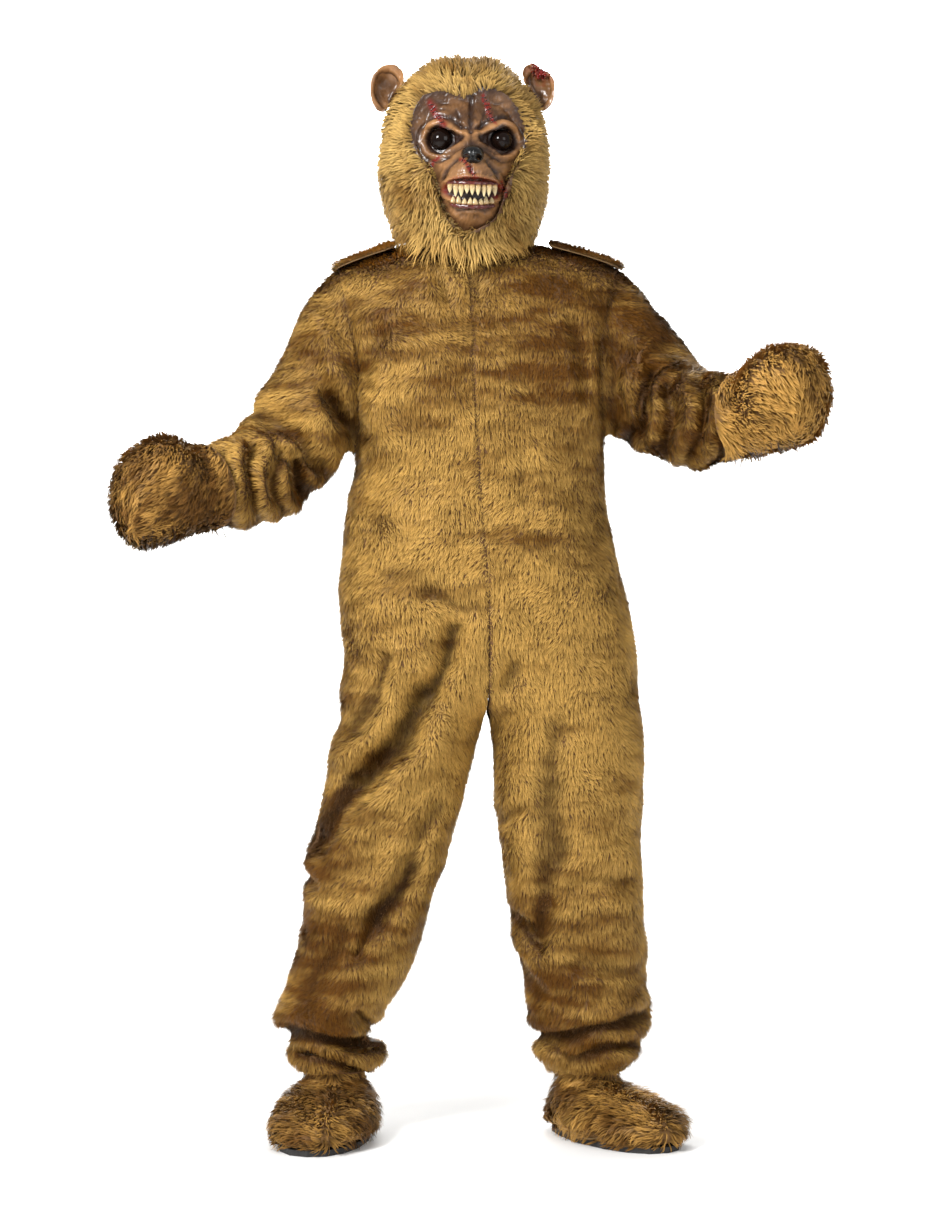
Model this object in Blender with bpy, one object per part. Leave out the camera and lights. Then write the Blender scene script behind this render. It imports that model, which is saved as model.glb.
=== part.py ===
"""Bear mascot costume in its worn pose: plush jumpsuit, mask, two mitts and two boot covers.

Metres, +Z up, the front faces -Y. Right and left are the wearer's, so right is -X.
Heights below are above the ground; the empty "costume" moves the whole thing so that
the origin lies between the shoulder seams, where the wearer carries the suit.
The plush cloth is one wall: its backing and the pile that lies on it.
"""

import math
from collections import namedtuple

import bmesh
import bpy
import numpy as np
from mathutils import Vector
from mathutils.bvhtree import BVHTree

# Driving sizes
SHOULDER_HEIGHT = 1.490  # the suit is carried here
SUIT_CLOTH = 0.009  # plush with its pile
MASK_CLOTH = 0.013  # longer pile
MITT_CLOTH = 0.011
LATEX = 0.003
SEAM_GAP = 0.0004
SAME_POINT = 2e-5  # points nearer than this are one
PANEL_COLUMNS = 10  # steps from the centre seam or inseam to the side seam
SIDES = (("right", -1), ("left", 1))


# Small tools

def column(rows, name):
    return np.array([getattr(row, name) for row in rows], float)


def smooth_column(rows, name, along, at):
    """A column of a table read at any place, on a curve through its rows."""
    x = column(rows, along)
    y = column(rows, name)
    slope = np.gradient(y, x)
    i = np.clip(np.searchsorted(x, at, side="right") - 1, 0, len(x) - 2)
    step = x[i + 1] - x[i]
    t = np.clip((at - x[i]) / step, 0, 1)
    return (
        (2 * t**3 - 3 * t**2 + 1) * y[i]
        + (t**3 - 2 * t**2 + t) * step * slope[i]
        + (-2 * t**3 + 3 * t**2) * y[i + 1]
        + (t**3 - t**2) * step * slope[i + 1]
    )


def unit(vectors):
    length = np.linalg.norm(vectors, axis=-1, keepdims=True)
    return vectors / np.maximum(length, 1e-9)


def signed_power(value, power):
    return np.sign(value) * np.abs(value) ** power


def trough(distance, width):
    """1 on the line of a fold, falling softly to 0 at about twice its width."""
    return np.exp(-((distance / width) ** 2))


def segment_distance(x, z, fold):
    """How far points of the front view lie from a fold's line, and how far along it."""
    along_x = fold.x1 - fold.x0
    along_z = fold.z1 - fold.z0
    t = ((x - fold.x0) * along_x + (z - fold.z0) * along_z) / (along_x**2 + along_z**2)
    held = np.clip(t, 0, 1)
    return np.hypot(x - fold.x0 - held * along_x, z - fold.z0 - held * along_z), held


def clear_scene():
    for thing in list(bpy.data.objects):
        bpy.data.objects.remove(thing, do_unlink=True)


def material(name, colour, roughness):
    made = bpy.data.materials.new(name)
    made.use_nodes = True
    shader = made.node_tree.nodes["Principled BSDF"]
    shader.inputs["Base Color"].default_value = (*colour, 1)
    shader.inputs["Roughness"].default_value = roughness
    return made


def add_object(name, mesh, look):
    made = bpy.data.objects.new(name, mesh)
    mesh.materials.append(look)
    PARTS.objects.link(made)
    made.parent = CARRIER
    mesh.shade_smooth()
    mesh.set_sharp_from_angle(angle=math.radians(50))
    return made


def add_solid(name, points, faces, look):
    """A closed mesh from worked-out points: points in one place are joined, faces turned out."""
    mesh = bpy.data.meshes.new(name)
    mesh.from_pydata([tuple(point) for point in points], [], faces)
    shape = bmesh.new()
    shape.from_mesh(mesh)
    bmesh.ops.remove_doubles(shape, verts=shape.verts, dist=SAME_POINT)
    bmesh.ops.dissolve_degenerate(shape, edges=shape.edges, dist=SAME_POINT / 2)
    bmesh.ops.recalc_face_normals(shape, faces=shape.faces)
    shape.to_mesh(mesh)
    shape.free()
    return add_object(name, mesh, look)


def cloth_wall(name, outer, inner, look, ring=False, closed_end=False):
    """One closed wall between two grids of points, [row, column].

    A ring's columns join up. A closed end has all of its last row in one point.
    """
    rows, columns = outer.shape[:2]
    points = np.concatenate([outer.reshape(-1, 3), inner.reshape(-1, 3)])
    half = rows * columns
    spans = columns if ring else columns - 1
    faces = []
    for r in range(rows - 1):
        for c in range(spans):
            d = (c + 1) % columns
            quad = (r * columns + c, r * columns + d, (r + 1) * columns + d, (r + 1) * columns + c)
            faces.append(quad)
            faces.append(tuple(half + corner for corner in reversed(quad)))
    for r in (0,) if closed_end else (0, rows - 1):
        for c in range(spans):
            a, b = r * columns + c, r * columns + (c + 1) % columns
            faces.append((b, a, half + a, half + b) if r == 0 else (a, b, half + b, half + a))
    if not ring:
        for c in (0, columns - 1):
            for r in range(rows - 1):
                a, b = r * columns + c, (r + 1) * columns + c
                faces.append((a, b, half + b, half + a) if c == 0 else (b, a, half + a, half + b))
    return add_solid(name, points, faces, look)


def grid_normals(grid, before=None, after=None, below=None, above=None):
    """Outward directions of a grid whose columns run from the centre to the side.

    before and after are the columns past its first and last one, below and above its rows.
    """
    wide = np.concatenate(
        [
            grid[:, :1] if before is None else before[:, None],
            grid,
            grid[:, -1:] if after is None else after[:, None],
        ],
        axis=1,
    )
    tall = np.concatenate(
        [
            grid[:1] if below is None else below[None],
            grid,
            grid[-1:] if above is None else above[None],
        ],
        axis=0,
    )
    across = wide[:, 2:] - wide[:, :-2]
    up = tall[2:] - tall[:-2]
    return unit(np.cross(across, up))


def pull_in(grid, row_edges=(), column_edges=()):
    """Moves the named edges of a panel back from their seams by half the gap."""
    moved = grid.copy()
    for edge, inside in row_edges:
        moved[edge] += unit(grid[inside] - grid[edge]) * SEAM_GAP / 2
    for edge, inside in column_edges:
        moved[:, edge] += unit(grid[:, inside] - grid[:, edge]) * SEAM_GAP / 2
    return moved


# Suit body: a leg's sections stand side by side, and above the crotch each is cut at the middle line

Section = namedtuple("Section", "z inner outer centre_y front back square")
SECTIONS = {
    "right": [
        Section(0.0965, 0.1704, 0.2836, 0.030, 0.0566, 0.0566, 2.1),
        Section(0.1045, 0.158, 0.297, 0.030, 0.070, 0.066, 2.1),
        Section(0.1145, 0.161, 0.289, 0.030, 0.063, 0.062, 2.1),
        Section(0.127, 0.141, 0.309, 0.029, 0.082, 0.074, 2.1),
        Section(0.143, 0.141, 0.306, 0.028, 0.083, 0.076, 2.1),
        Section(0.157, 0.153, 0.294, 0.026, 0.070, 0.068, 2.1),
        Section(0.172, 0.154, 0.319, 0.023, 0.090, 0.082, 2.1),
        Section(0.194, 0.147, 0.328, 0.021, 0.100, 0.086, 2.1),
        Section(0.238, 0.114, 0.317, 0.018, 0.108, 0.090, 2.2),
        Section(0.290, 0.090, 0.300, 0.012, 0.110, 0.092, 2.2),
        Section(0.342, 0.074, 0.288, 0.004, 0.110, 0.094, 2.2),
        Section(0.395, 0.058, 0.281, -0.006, 0.110, 0.096, 2.2),
        Section(0.450, 0.042, 0.276, -0.014, 0.112, 0.100, 2.2),
        Section(0.505, 0.025, 0.267, -0.016, 0.116, 0.106, 2.2),
        Section(0.560, 0.009, 0.252, -0.012, 0.122, 0.116, 2.2),
        Section(0.612, -0.006, 0.234, -0.006, 0.128, 0.126, 2.2),
        Section(0.655, -0.016, 0.226, -0.001, 0.134, 0.136, 2.2),
        Section(0.692, -0.0275, 0.222, 0.002, 0.140, 0.142, 2.2),
        Section(0.715, -0.050, 0.220, 0.004, 0.144, 0.145, 2.2),
        Section(0.745, -0.085, 0.218, 0.005, 0.148, 0.148, 2.25),
        Section(0.785, -0.130, 0.212, 0.006, 0.152, 0.150, 2.3),
        Section(0.830, -0.175, 0.214, 0.006, 0.156, 0.150, 2.3),
        Section(0.880, -0.210, 0.226, 0.006, 0.158, 0.148, 2.3),
        Section(0.980, -0.235, 0.219, 0.006, 0.156, 0.143, 2.3),
        Section(1.080, -0.225, 0.204, 0.006, 0.150, 0.142, 2.3),
    ],
    "left": [
        Section(0.0965, 0.1404, 0.2536, 0.028, 0.0566, 0.0566, 2.1),
        Section(0.1045, 0.124, 0.268, 0.028, 0.072, 0.068, 2.1),
        Section(0.1145, 0.128, 0.264, 0.028, 0.066, 0.064, 2.1),
        Section(0.127, 0.111, 0.281, 0.027, 0.082, 0.076, 2.1),
        Section(0.143, 0.105, 0.292, 0.026, 0.090, 0.080, 2.1),
        Section(0.157, 0.109, 0.287, 0.024, 0.086, 0.077, 2.1),
        Section(0.172, 0.104, 0.300, 0.021, 0.098, 0.084, 2.1),
        Section(0.194, 0.099, 0.305, 0.018, 0.104, 0.088, 2.1),
        Section(0.238, 0.088, 0.302, 0.014, 0.108, 0.091, 2.2),
        Section(0.290, 0.076, 0.300, 0.008, 0.110, 0.094, 2.2),
        Section(0.342, 0.067, 0.298, 0.000, 0.112, 0.097, 2.2),
        Section(0.395, 0.058, 0.293, -0.006, 0.114, 0.100, 2.2),
        Section(0.450, 0.049, 0.290, -0.010, 0.118, 0.104, 2.2),
        Section(0.505, 0.043, 0.290, -0.012, 0.122, 0.110, 2.2),
        Section(0.560, 0.038, 0.291, -0.010, 0.128, 0.118, 2.2),
        Section(0.612, 0.034, 0.293, -0.006, 0.132, 0.128, 2.2),
        Section(0.655, 0.031, 0.294, -0.002, 0.136, 0.136, 2.2),
        Section(0.692, 0.0285, 0.291, 0.001, 0.140, 0.142, 2.2),
        Section(0.715, 0.000, 0.288, 0.003, 0.144, 0.145, 2.2),
        Section(0.745, -0.040, 0.285, 0.005, 0.148, 0.148, 2.25),
        Section(0.785, -0.100, 0.283, 0.006, 0.152, 0.150, 2.3),
        Section(0.830, -0.150, 0.281, 0.006, 0.156, 0.150, 2.3),
        Section(0.880, -0.180, 0.272, 0.006, 0.158, 0.148, 2.3),
        Section(0.980, -0.185, 0.244, 0.006, 0.156, 0.143, 2.3),
        Section(1.080, -0.180, 0.231, 0.006, 0.150, 0.142, 2.3),
    ],
}

# Where the centre seam runs: it leans a little, as the wearer does
MiddleLine = namedtuple("MiddleLine", "z x")
MIDDLE = [
    MiddleLine(0.60, 0.0280),
    MiddleLine(0.70, 0.0280),
    MiddleLine(0.80, 0.0330),
    MiddleLine(0.95, 0.0280),
    MiddleLine(1.15, 0.0130),
    MiddleLine(1.35, 0.0020),
    MiddleLine(1.55, -0.0020),
]

# Above the underarm: the armhole edge on one side, the centre seam or the neckline on the other
Yoke = namedtuple(
    "Yoke", "z_centre z_side side front_side front_centre front_neck back_side back_centre back_neck"
)
YOKE = [
    Yoke(1.135, 1.135, 0.000, 0.006, -0.146, 0.000, 0.006, 0.148, 0.000),
    Yoke(1.190, 1.180, -0.004, -0.052, -0.147, 0.000, 0.066, 0.152, 0.000),
    Yoke(1.246, 1.228, -0.008, -0.078, -0.147, 0.000, 0.094, 0.155, 0.000),
    Yoke(1.300, 1.278, -0.009, -0.084, -0.143, 0.000, 0.104, 0.155, 0.000),
    Yoke(1.352, 1.325, -0.005, -0.079, -0.134, 0.000, 0.102, 0.149, 0.000),
    Yoke(1.415, 1.368, 0.004, -0.067, -0.116, 0.000, 0.090, 0.134, 0.000),
    Yoke(1.455, 1.405, 0.014, -0.049, -0.092, 0.050, 0.068, 0.110, 0.000),
    Yoke(1.487, 1.436, 0.022, -0.026, -0.058, 0.077, 0.040, 0.074, 0.056),
    Yoke(1.508, 1.452, 0.026, 0.006, 0.006, 0.088, 0.006, 0.006, 0.088),
]
CROTCH_TOP = 0.70
UNDERARM = {"right": (0.200, 1.128), "left": (0.226, 1.160)}
YOKE_SQUARE = 2.5
YOKE_DROOP = 1.7  # how late along the shoulder its height falls away

# The largest folds, as lines of the front or back view: depth inwards, ridges negative
Fold = namedtuple("Fold", "face x0 z0 x1 z1 depth width")
FOLDS = [
    Fold("front", -0.025, 0.825, -0.200, 0.570, 0.024, 0.028),
    Fold("front", -0.105, 0.800, -0.250, 0.640, -0.008, 0.026),
    Fold("front", -0.150, 0.790, -0.205, 0.700, 0.014, 0.022),
    Fold("front", -0.060, 0.600, -0.250, 0.380, 0.014, 0.030),
    Fold("front", -0.100, 0.430, -0.290, 0.235, 0.014, 0.028),
    Fold("front", 0.070, 0.810, 0.055, 0.640, 0.010, 0.024),
    Fold("front", 0.180, 0.660, 0.160, 0.420, 0.009, 0.030),
    Fold("front", 0.085, 0.350, 0.230, 0.310, 0.012, 0.022),
    Fold("front", 0.160, 0.225, 0.290, 0.262, 0.012, 0.018),
    Fold("front", -0.165, 1.150, -0.190, 0.930, 0.010, 0.026),
    Fold("front", 0.195, 1.130, 0.225, 0.930, 0.009, 0.026),
    Fold("front", 0.020, 1.400, 0.014, 1.100, 0.006, 0.020),
    Fold("back", -0.035, 0.820, -0.190, 0.590, 0.018, 0.030),
    Fold("back", 0.095, 0.820, 0.240, 0.600, 0.018, 0.030),
    Fold("back", -0.080, 0.530, -0.250, 0.330, 0.013, 0.030),
    Fold("back", 0.080, 0.510, 0.260, 0.340, 0.013, 0.030),
    Fold("back", -0.160, 1.120, -0.050, 0.910, 0.011, 0.030),
    Fold("back", 0.180, 1.120, 0.090, 0.910, 0.011, 0.030),
]


def middle_x(z):
    return smooth_column(MIDDLE, "x", "z", np.asarray(z, float))


def body_sections(side):
    """The table's sections, with one more between those on the thigh that lie far apart."""
    table = SECTIONS[side]
    heights = []
    for low, high in zip(table, table[1:]):
        heights.append(low.z)
        if high.z - low.z > 0.042 and high.z < CROTCH_TOP:
            heights.append((low.z + high.z) / 2)
    heights = np.array(heights + [table[-1].z])
    fields = [smooth_column(table, name, "z", heights) for name in Section._fields[1:]]
    return [Section(z, *values) for z, *values in zip(heights, *fields)]


def body_row(side, sign, section, face):
    """Points of one section from the inseam or centre seam (first) to the side seam (last)."""
    centre = (section.inner + section.outer) / 2
    half = (section.outer - section.inner) / 2
    middle = sign * float(middle_x(section.z))
    cut = (middle - centre) / half
    start = math.pi
    if cut > -1:
        start = math.acos(signed_power(cut, section.square / 2))
    turn = start * (1 - np.arange(PANEL_COLUMNS + 1) / PANEL_COLUMNS)
    depth = -section.front if face == "front" else section.back
    x = centre + half * signed_power(np.cos(turn), 2 / section.square)
    y = section.centre_y + depth * signed_power(np.sin(turn), 2 / section.square)
    return np.stack([x, y, np.full_like(x, section.z)], axis=1)


def yoke_row(side, sign, level, face):
    """Points of one row of the yoke from the centre seam or neckline to the armhole."""
    middle = sign * float(middle_x(level.z_centre))
    armhole = UNDERARM[side][0] + level.side
    lift = (UNDERARM[side][1] - YOKE[0].z_side) * (YOKE[-1].z_side - level.z_side) / (
        YOKE[-1].z_side - YOKE[0].z_side
    )
    y_side = getattr(level, face + "_side")
    y_centre = getattr(level, face + "_centre")
    neck = getattr(level, face + "_neck")
    half = armhole - middle
    first = max(middle, neck) if neck > 0 else middle
    start = math.acos(signed_power((first - middle) / half, YOKE_SQUARE / 2))
    turn = start * (1 - np.arange(PANEL_COLUMNS + 1) / PANEL_COLUMNS)
    x = middle + half * signed_power(np.cos(turn), 2 / YOKE_SQUARE)
    y = y_side + (y_centre - y_side) * signed_power(np.sin(turn), 2 / YOKE_SQUARE)
    share = np.clip((x - middle) / half, 0, 1) ** YOKE_DROOP
    z = level.z_centre + (level.z_side + lift - level.z_centre) * share
    return np.stack([x, y, z], axis=1)


def fold_depth(grid, sign, face):
    """How far each point of a panel moves out of its smooth form."""
    moved = np.zeros(grid.shape[:2])
    for fold in FOLDS:
        if fold.face == face:
            distance, along = segment_distance(sign * grid[..., 0], grid[..., 2], fold)
            moved -= fold.depth * trough(distance, fold.width)
    return moved


def half_body(side, sign):
    """Front and back grids of one half of the suit, with their outward directions."""
    grids = {}
    for face in ("front", "back"):
        rows = [body_row(side, sign, section, face) for section in body_sections(side)]
        rows += [yoke_row(side, sign, level, face) for level in YOKE]
        grids[face] = np.array(rows)
    normals = {}
    for face, other in (("front", "back"), ("back", "front")):
        grid, across = grids[face], grids[other]
        normal = grid_normals(
            grid, before=across[:, 1], after=across[:, -2], above=across[-2]
        )
        own = grid_normals(grid, above=across[-2])
        below_crotch = np.linalg.norm(grid[:, 0] - across[:, 0], axis=1) < 1e-6
        below_crotch[-1] = False
        normal[~below_crotch, 0] = own[~below_crotch, 0]
        below_underarm = len(grid) - len(YOKE) + 1
        normal[below_underarm:-1, -1] = own[below_underarm:-1, -1]
        if face == "back":
            normal = -normal
        neckline = grid[:, 0, 0] > sign * middle_x(grid[:, 0, 2]) + 1e-4
        on_middle = ~below_crotch & ~neckline
        normal[on_middle, 0, 0] = 0
        normals[face] = unit(normal)
    shoulder = unit(normals["front"][-1] + normals["back"][-1])
    side_seam = unit(normals["front"][:, -1] + normals["back"][:, -1])
    inseam = unit(normals["front"][:, 0] + normals["back"][:, 0])
    for face in ("front", "back"):
        normals[face][-1] = shoulder
        normals[face][:below_underarm, -1] = side_seam[:below_underarm]
        normals[face][below_crotch, 0] = inseam[below_crotch]
    return grids, normals


def mirrored(points, sign):
    return points * np.array([sign, 1, 1])


def build_suit_body(side, sign, look):
    """The front and back panel of one half. Returns their points and the armhole's ring."""
    grids, normals = half_body(side, sign)
    walls = {}
    for face in ("front", "back"):
        fold = fold_depth(grids[face], sign, face)[..., None]
        outer = grids[face] + normals[face] * fold
        inner = grids[face] + normals[face] * (fold - SUIT_CLOTH)
        walls[face] = (outer, inner)
    # the two panels share their seam points, so the folds there are averaged first
    below_underarm = len(grids["front"]) - len(YOKE) + 1
    for layer in (0, 1):
        front, back = walls["front"][layer], walls["back"][layer]
        for rows, columns in (
            (slice(0, below_underarm), -1),
            (slice(-1, None), slice(None)),
        ):
            middle = (front[rows, columns] + back[rows, columns]) / 2
            front[rows, columns] = middle
            back[rows, columns] = middle
        joined = np.linalg.norm(grids["front"][:, 0] - grids["back"][:, 0], axis=1) < 1e-6
        middle = (front[joined, 0] + back[joined, 0]) / 2
        front[joined, 0] = middle
        back[joined, 0] = middle
    ring = [
        np.concatenate(
            [
                walls["front"][layer][below_underarm - 1 :, -1],
                walls["back"][layer][-2 : below_underarm - 1 : -1, -1],
            ]
        )
        for layer in (0, 1)
    ]
    for face in ("front", "back"):
        layers = []
        for layer in walls[face]:
            cut = layer.copy()
            middle = sign * middle_x(cut[:, 0, 2])
            on_middle = cut[:, 0, 0] < middle + 0.002
            above = cut[:, 0, 2] > CROTCH_TOP - 0.03
            cut[on_middle & above, 0, 0] = middle[on_middle & above]
            cut = pull_in(
                cut, row_edges=[(-1, -2)], column_edges=[(0, 1), (-1, -2)]
            )
            layers.append(mirrored(cut, sign))
        cloth_wall(f"{face}_{side}", layers[0], layers[1], look)
    return walls, ring


# Rings: sleeves, mitts and boots are walls round a line

Ring = namedtuple("Ring", "along x y z up_x height depth")
RingFold = namedtuple("RingFold", "along turn depth width span slant")
RING_COLUMNS = 16  # bottom first, then up the front, over the top and down the back
SLEEVE_ROWS = 21
SLEEVE_SPREAD = 1.04  # rows lie a little closer together at the armhole
SLEEVE_SQUARE = 2.2
ARMHOLE_SHARE = 0.26  # share of the sleeve that eases from the armhole's ring into its own
SLEEVES = {
    "right": [
        Ring(0.00, 0.206, 0.010, 1.290, 0.00, 0.162, 0.094),
        Ring(0.10, 0.236, 0.004, 1.266, 0.18, 0.137, 0.100),
        Ring(0.20, 0.257, -0.002, 1.230, 0.38, 0.115, 0.103),
        Ring(0.30, 0.274, -0.010, 1.193, 0.55, 0.104, 0.103),
        Ring(0.40, 0.292, -0.022, 1.158, 0.68, 0.098, 0.101),
        Ring(0.50, 0.312, -0.042, 1.127, 0.71, 0.091, 0.096),
        Ring(0.60, 0.335, -0.068, 1.100, 0.67, 0.087, 0.092),
        Ring(0.70, 0.363, -0.096, 1.085, 0.60, 0.084, 0.088),
        Ring(0.80, 0.394, -0.124, 1.077, 0.48, 0.080, 0.082),
        Ring(0.90, 0.421, -0.144, 1.075, 0.36, 0.067, 0.068),
        Ring(1.00, 0.446, -0.165, 1.074, 0.30, 0.053, 0.054),
    ],
    "left": [
        Ring(0.00, 0.232, 0.010, 1.304, 0.00, 0.145, 0.094),
        Ring(0.10, 0.252, 0.004, 1.290, 0.12, 0.131, 0.100),
        Ring(0.20, 0.276, -0.002, 1.271, 0.22, 0.121, 0.104),
        Ring(0.30, 0.300, -0.010, 1.250, 0.26, 0.115, 0.106),
        Ring(0.40, 0.320, -0.022, 1.230, 0.22, 0.109, 0.105),
        Ring(0.50, 0.340, -0.044, 1.206, 0.13, 0.097, 0.100),
        Ring(0.60, 0.362, -0.072, 1.190, 0.08, 0.089, 0.094),
        Ring(0.70, 0.386, -0.102, 1.184, 0.04, 0.083, 0.088),
        Ring(0.80, 0.412, -0.132, 1.186, -0.02, 0.075, 0.080),
        Ring(0.90, 0.434, -0.156, 1.189, -0.08, 0.065, 0.067),
        Ring(1.00, 0.454, -0.176, 1.194, -0.10, 0.053, 0.054),
    ],
}
# turn: 0 under the arm, 0.25 in front, 0.5 on top, 0.75 behind; slant: along per turn
SLEEVE_FOLDS = {
    "right": [
        RingFold(0.20, 0.30, 0.012, 0.040, 0.20, 0.30),
        RingFold(0.42, 0.36, 0.013, 0.024, 0.22, 0.10),
        RingFold(0.50, 0.22, 0.015, 0.022, 0.24, 0.06),
        RingFold(0.59, 0.25, 0.020, 0.024, 0.22, 0.05),
        RingFold(0.68, 0.22, 0.013, 0.018, 0.24, 0.03),
        RingFold(0.76, 0.27, 0.014, 0.018, 0.26, 0.02),
        RingFold(0.85, 0.25, 0.011, 0.017, 0.30, 0.00),
        RingFold(0.92, 0.20, 0.008, 0.014, 0.30, 0.00),
        RingFold(0.50, 0.80, 0.010, 0.030, 0.25, 0.00),
        RingFold(0.70, 0.80, 0.010, 0.030, 0.25, 0.00),
    ],
    "left": [
        RingFold(0.14, 0.30, 0.012, 0.040, 0.14, 0.20),
        RingFold(0.33, 0.20, 0.015, 0.034, 0.18, -0.30),
        RingFold(0.45, 0.20, 0.018, 0.024, 0.20, -0.24),
        RingFold(0.55, 0.22, 0.016, 0.022, 0.22, -0.16),
        RingFold(0.64, 0.26, 0.014, 0.020, 0.22, -0.08),
        RingFold(0.73, 0.20, 0.013, 0.020, 0.26, -0.04),
        RingFold(0.83, 0.26, 0.011, 0.018, 0.26, 0.00),
        RingFold(0.92, 0.20, 0.008, 0.014, 0.30, 0.00),
        RingFold(0.50, 0.80, 0.010, 0.030, 0.25, 0.00),
        RingFold(0.70, 0.80, 0.010, 0.030, 0.25, 0.00),
    ],
}


def ring_frames(rings, at):
    """Centres, upward, forward and outward directions at places along a table of rings."""
    centre = np.stack([smooth_column(rings, name, "along", at) for name in "xyz"], axis=1)
    step = 0.01
    ahead = np.stack([smooth_column(rings, n, "along", np.clip(at + step, 0, 1)) for n in "xyz"], axis=1)
    behind = np.stack([smooth_column(rings, n, "along", np.clip(at - step, 0, 1)) for n in "xyz"], axis=1)
    outward = unit(ahead - behind)
    up_x = smooth_column(rings, "up_x", "along", at)
    up = np.stack([up_x, np.zeros_like(up_x), np.sqrt(1 - up_x**2)], axis=1)
    return centre, up, unit(np.cross(outward, up)), outward


def ring_fold_depth(folds, at, turns):
    """Depth inwards of all ring folds: rows of places along, columns of turns."""
    along, turn = np.meshgrid(at, turns, indexing="ij")
    depth = np.zeros_like(along)
    for fold in folds:
        apart = (turn - fold.turn + 0.5) % 1 - 0.5
        line = fold.along + fold.slant * apart
        depth += fold.depth * trough(along - line, fold.width) * trough(apart, fold.span)
    return depth


def ring_points(rings, folds, at, inset, squareness):
    """Rings of points round a limb, drawn in by inset and by the folds."""
    turns = np.arange(RING_COLUMNS) / RING_COLUMNS
    centre, up, forward, _ = ring_frames(rings, at)
    fold = ring_fold_depth(folds, at, turns) + inset
    high = smooth_column(rings, "height", "along", at)[:, None] - fold
    deep = smooth_column(rings, "depth", "along", at)[:, None] - fold
    upward = -signed_power(np.cos(2 * np.pi * turns), 2 / squareness) * high
    onward = signed_power(np.sin(2 * np.pi * turns), 2 / squareness) * deep
    return (
        centre[:, None]
        + up[:, None] * upward[..., None]
        + forward[:, None] * onward[..., None]
    )


def build_sleeve(side, sign, armhole, look):
    """A sleeve that leaves the armhole's own ring of points and closes in to its cuff."""
    rings, folds = SLEEVES[side], SLEEVE_FOLDS[side]
    at = np.linspace(0, 1, SLEEVE_ROWS) ** SLEEVE_SPREAD
    layers = []
    for layer, inset in ((0, 0.0), (1, SUIT_CLOTH)):
        points = ring_points(rings, folds, at, inset, SLEEVE_SQUARE)
        start = armhole[layer] + np.array([2 * SEAM_GAP, 0, 0])
        fade = np.clip(1 - at / ARMHOLE_SHARE, 0, 1)
        fade = fade**2 * (3 - 2 * fade)
        points += (start - points[0])[None] * fade[:, None, None]
        layers.append(mirrored(points, sign))
    cloth_wall(f"sleeve_{side}", layers[0], layers[1], look, ring=True)


# Mitts: a loose fist of long plush, its cuff over the sleeve's end

MITT_ROWS = 11
MITT_TIP = 0.007  # the tip stands this far past the last ring
MITT_SQUARE = 2.15
MITT_CLOSING = 0.6  # share of its length from which the mitt closes in
MITTS = {
    "right": [
        Ring(0.00, 0.425, -0.147, 1.075, 0.34, 0.0801, 0.0801),
        Ring(0.12, 0.437, -0.158, 1.074, 0.31, 0.0726, 0.0726),
        Ring(0.28, 0.457, -0.174, 1.071, 0.22, 0.075, 0.075),
        Ring(0.45, 0.482, -0.192, 1.066, 0.12, 0.084, 0.080),
        Ring(0.62, 0.508, -0.208, 1.062, 0.04, 0.088, 0.081),
        Ring(0.78, 0.532, -0.222, 1.058, 0.00, 0.080, 0.073),
        Ring(0.90, 0.548, -0.232, 1.056, 0.00, 0.062, 0.055),
        Ring(1.00, 0.560, -0.239, 1.055, 0.00, 0.030, 0.028),
    ],
    "left": [
        Ring(0.00, 0.437, -0.159, 1.189, -0.06, 0.0780, 0.0780),
        Ring(0.12, 0.448, -0.170, 1.193, -0.08, 0.0715, 0.0715),
        Ring(0.28, 0.466, -0.188, 1.200, -0.10, 0.0735, 0.0735),
        Ring(0.45, 0.488, -0.206, 1.210, -0.10, 0.082, 0.080),
        Ring(0.62, 0.512, -0.222, 1.217, -0.08, 0.084, 0.081),
        Ring(0.78, 0.534, -0.236, 1.221, -0.04, 0.076, 0.073),
        Ring(0.90, 0.549, -0.245, 1.223, 0.00, 0.058, 0.055),
        Ring(1.00, 0.560, -0.252, 1.224, 0.00, 0.028, 0.028),
    ],
}
# negative depth is a swelling: the thumb and the knuckles
MITT_FOLDS = {
    "right": [
        RingFold(0.50, 0.36, -0.012, 0.16, 0.10, 0.0),
        RingFold(0.62, 0.22, 0.012, 0.14, 0.05, 0.6),
        RingFold(0.72, 0.10, -0.006, 0.16, 0.08, 0.0),
        RingFold(0.20, 0.50, 0.006, 0.08, 0.30, 0.0),
    ],
    "left": [
        RingFold(0.42, 0.34, -0.014, 0.16, 0.09, 0.0),
        RingFold(0.60, 0.20, 0.013, 0.14, 0.05, 0.6),
        RingFold(0.72, 0.08, -0.006, 0.16, 0.08, 0.0),
        RingFold(0.20, 0.50, 0.006, 0.08, 0.30, 0.0),
    ],
}


def build_mitt(side, sign, look):
    """A closed fist whose cuff goes over the sleeve's end."""
    rings, folds = MITTS[side], MITT_FOLDS[side]
    at = np.linspace(0, 1, MITT_ROWS)
    centre, _, _, outward = ring_frames(rings, at)
    layers = []
    for inset in (0.0, MITT_CLOTH):
        points = ring_points(rings, folds, at, inset, MITT_SQUARE)
        # towards the tip the inner layer also stays one cloth behind the outer one
        closing = np.clip((at - MITT_CLOSING) / (1 - MITT_CLOSING), 0, 1)
        points -= outward[:, None] * inset * closing[:, None, None]
        tip = centre[-1] + outward[-1] * (MITT_TIP - inset)
        closed = np.concatenate([points, np.repeat(tip[None, None], RING_COLUMNS, axis=1)])
        layers.append(mirrored(closed, sign))
    return cloth_wall(f"mitt_{side}", *layers, look, ring=True, closed_end=True)


# Boot covers: level rings from the sole's edge to the ankle

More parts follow.
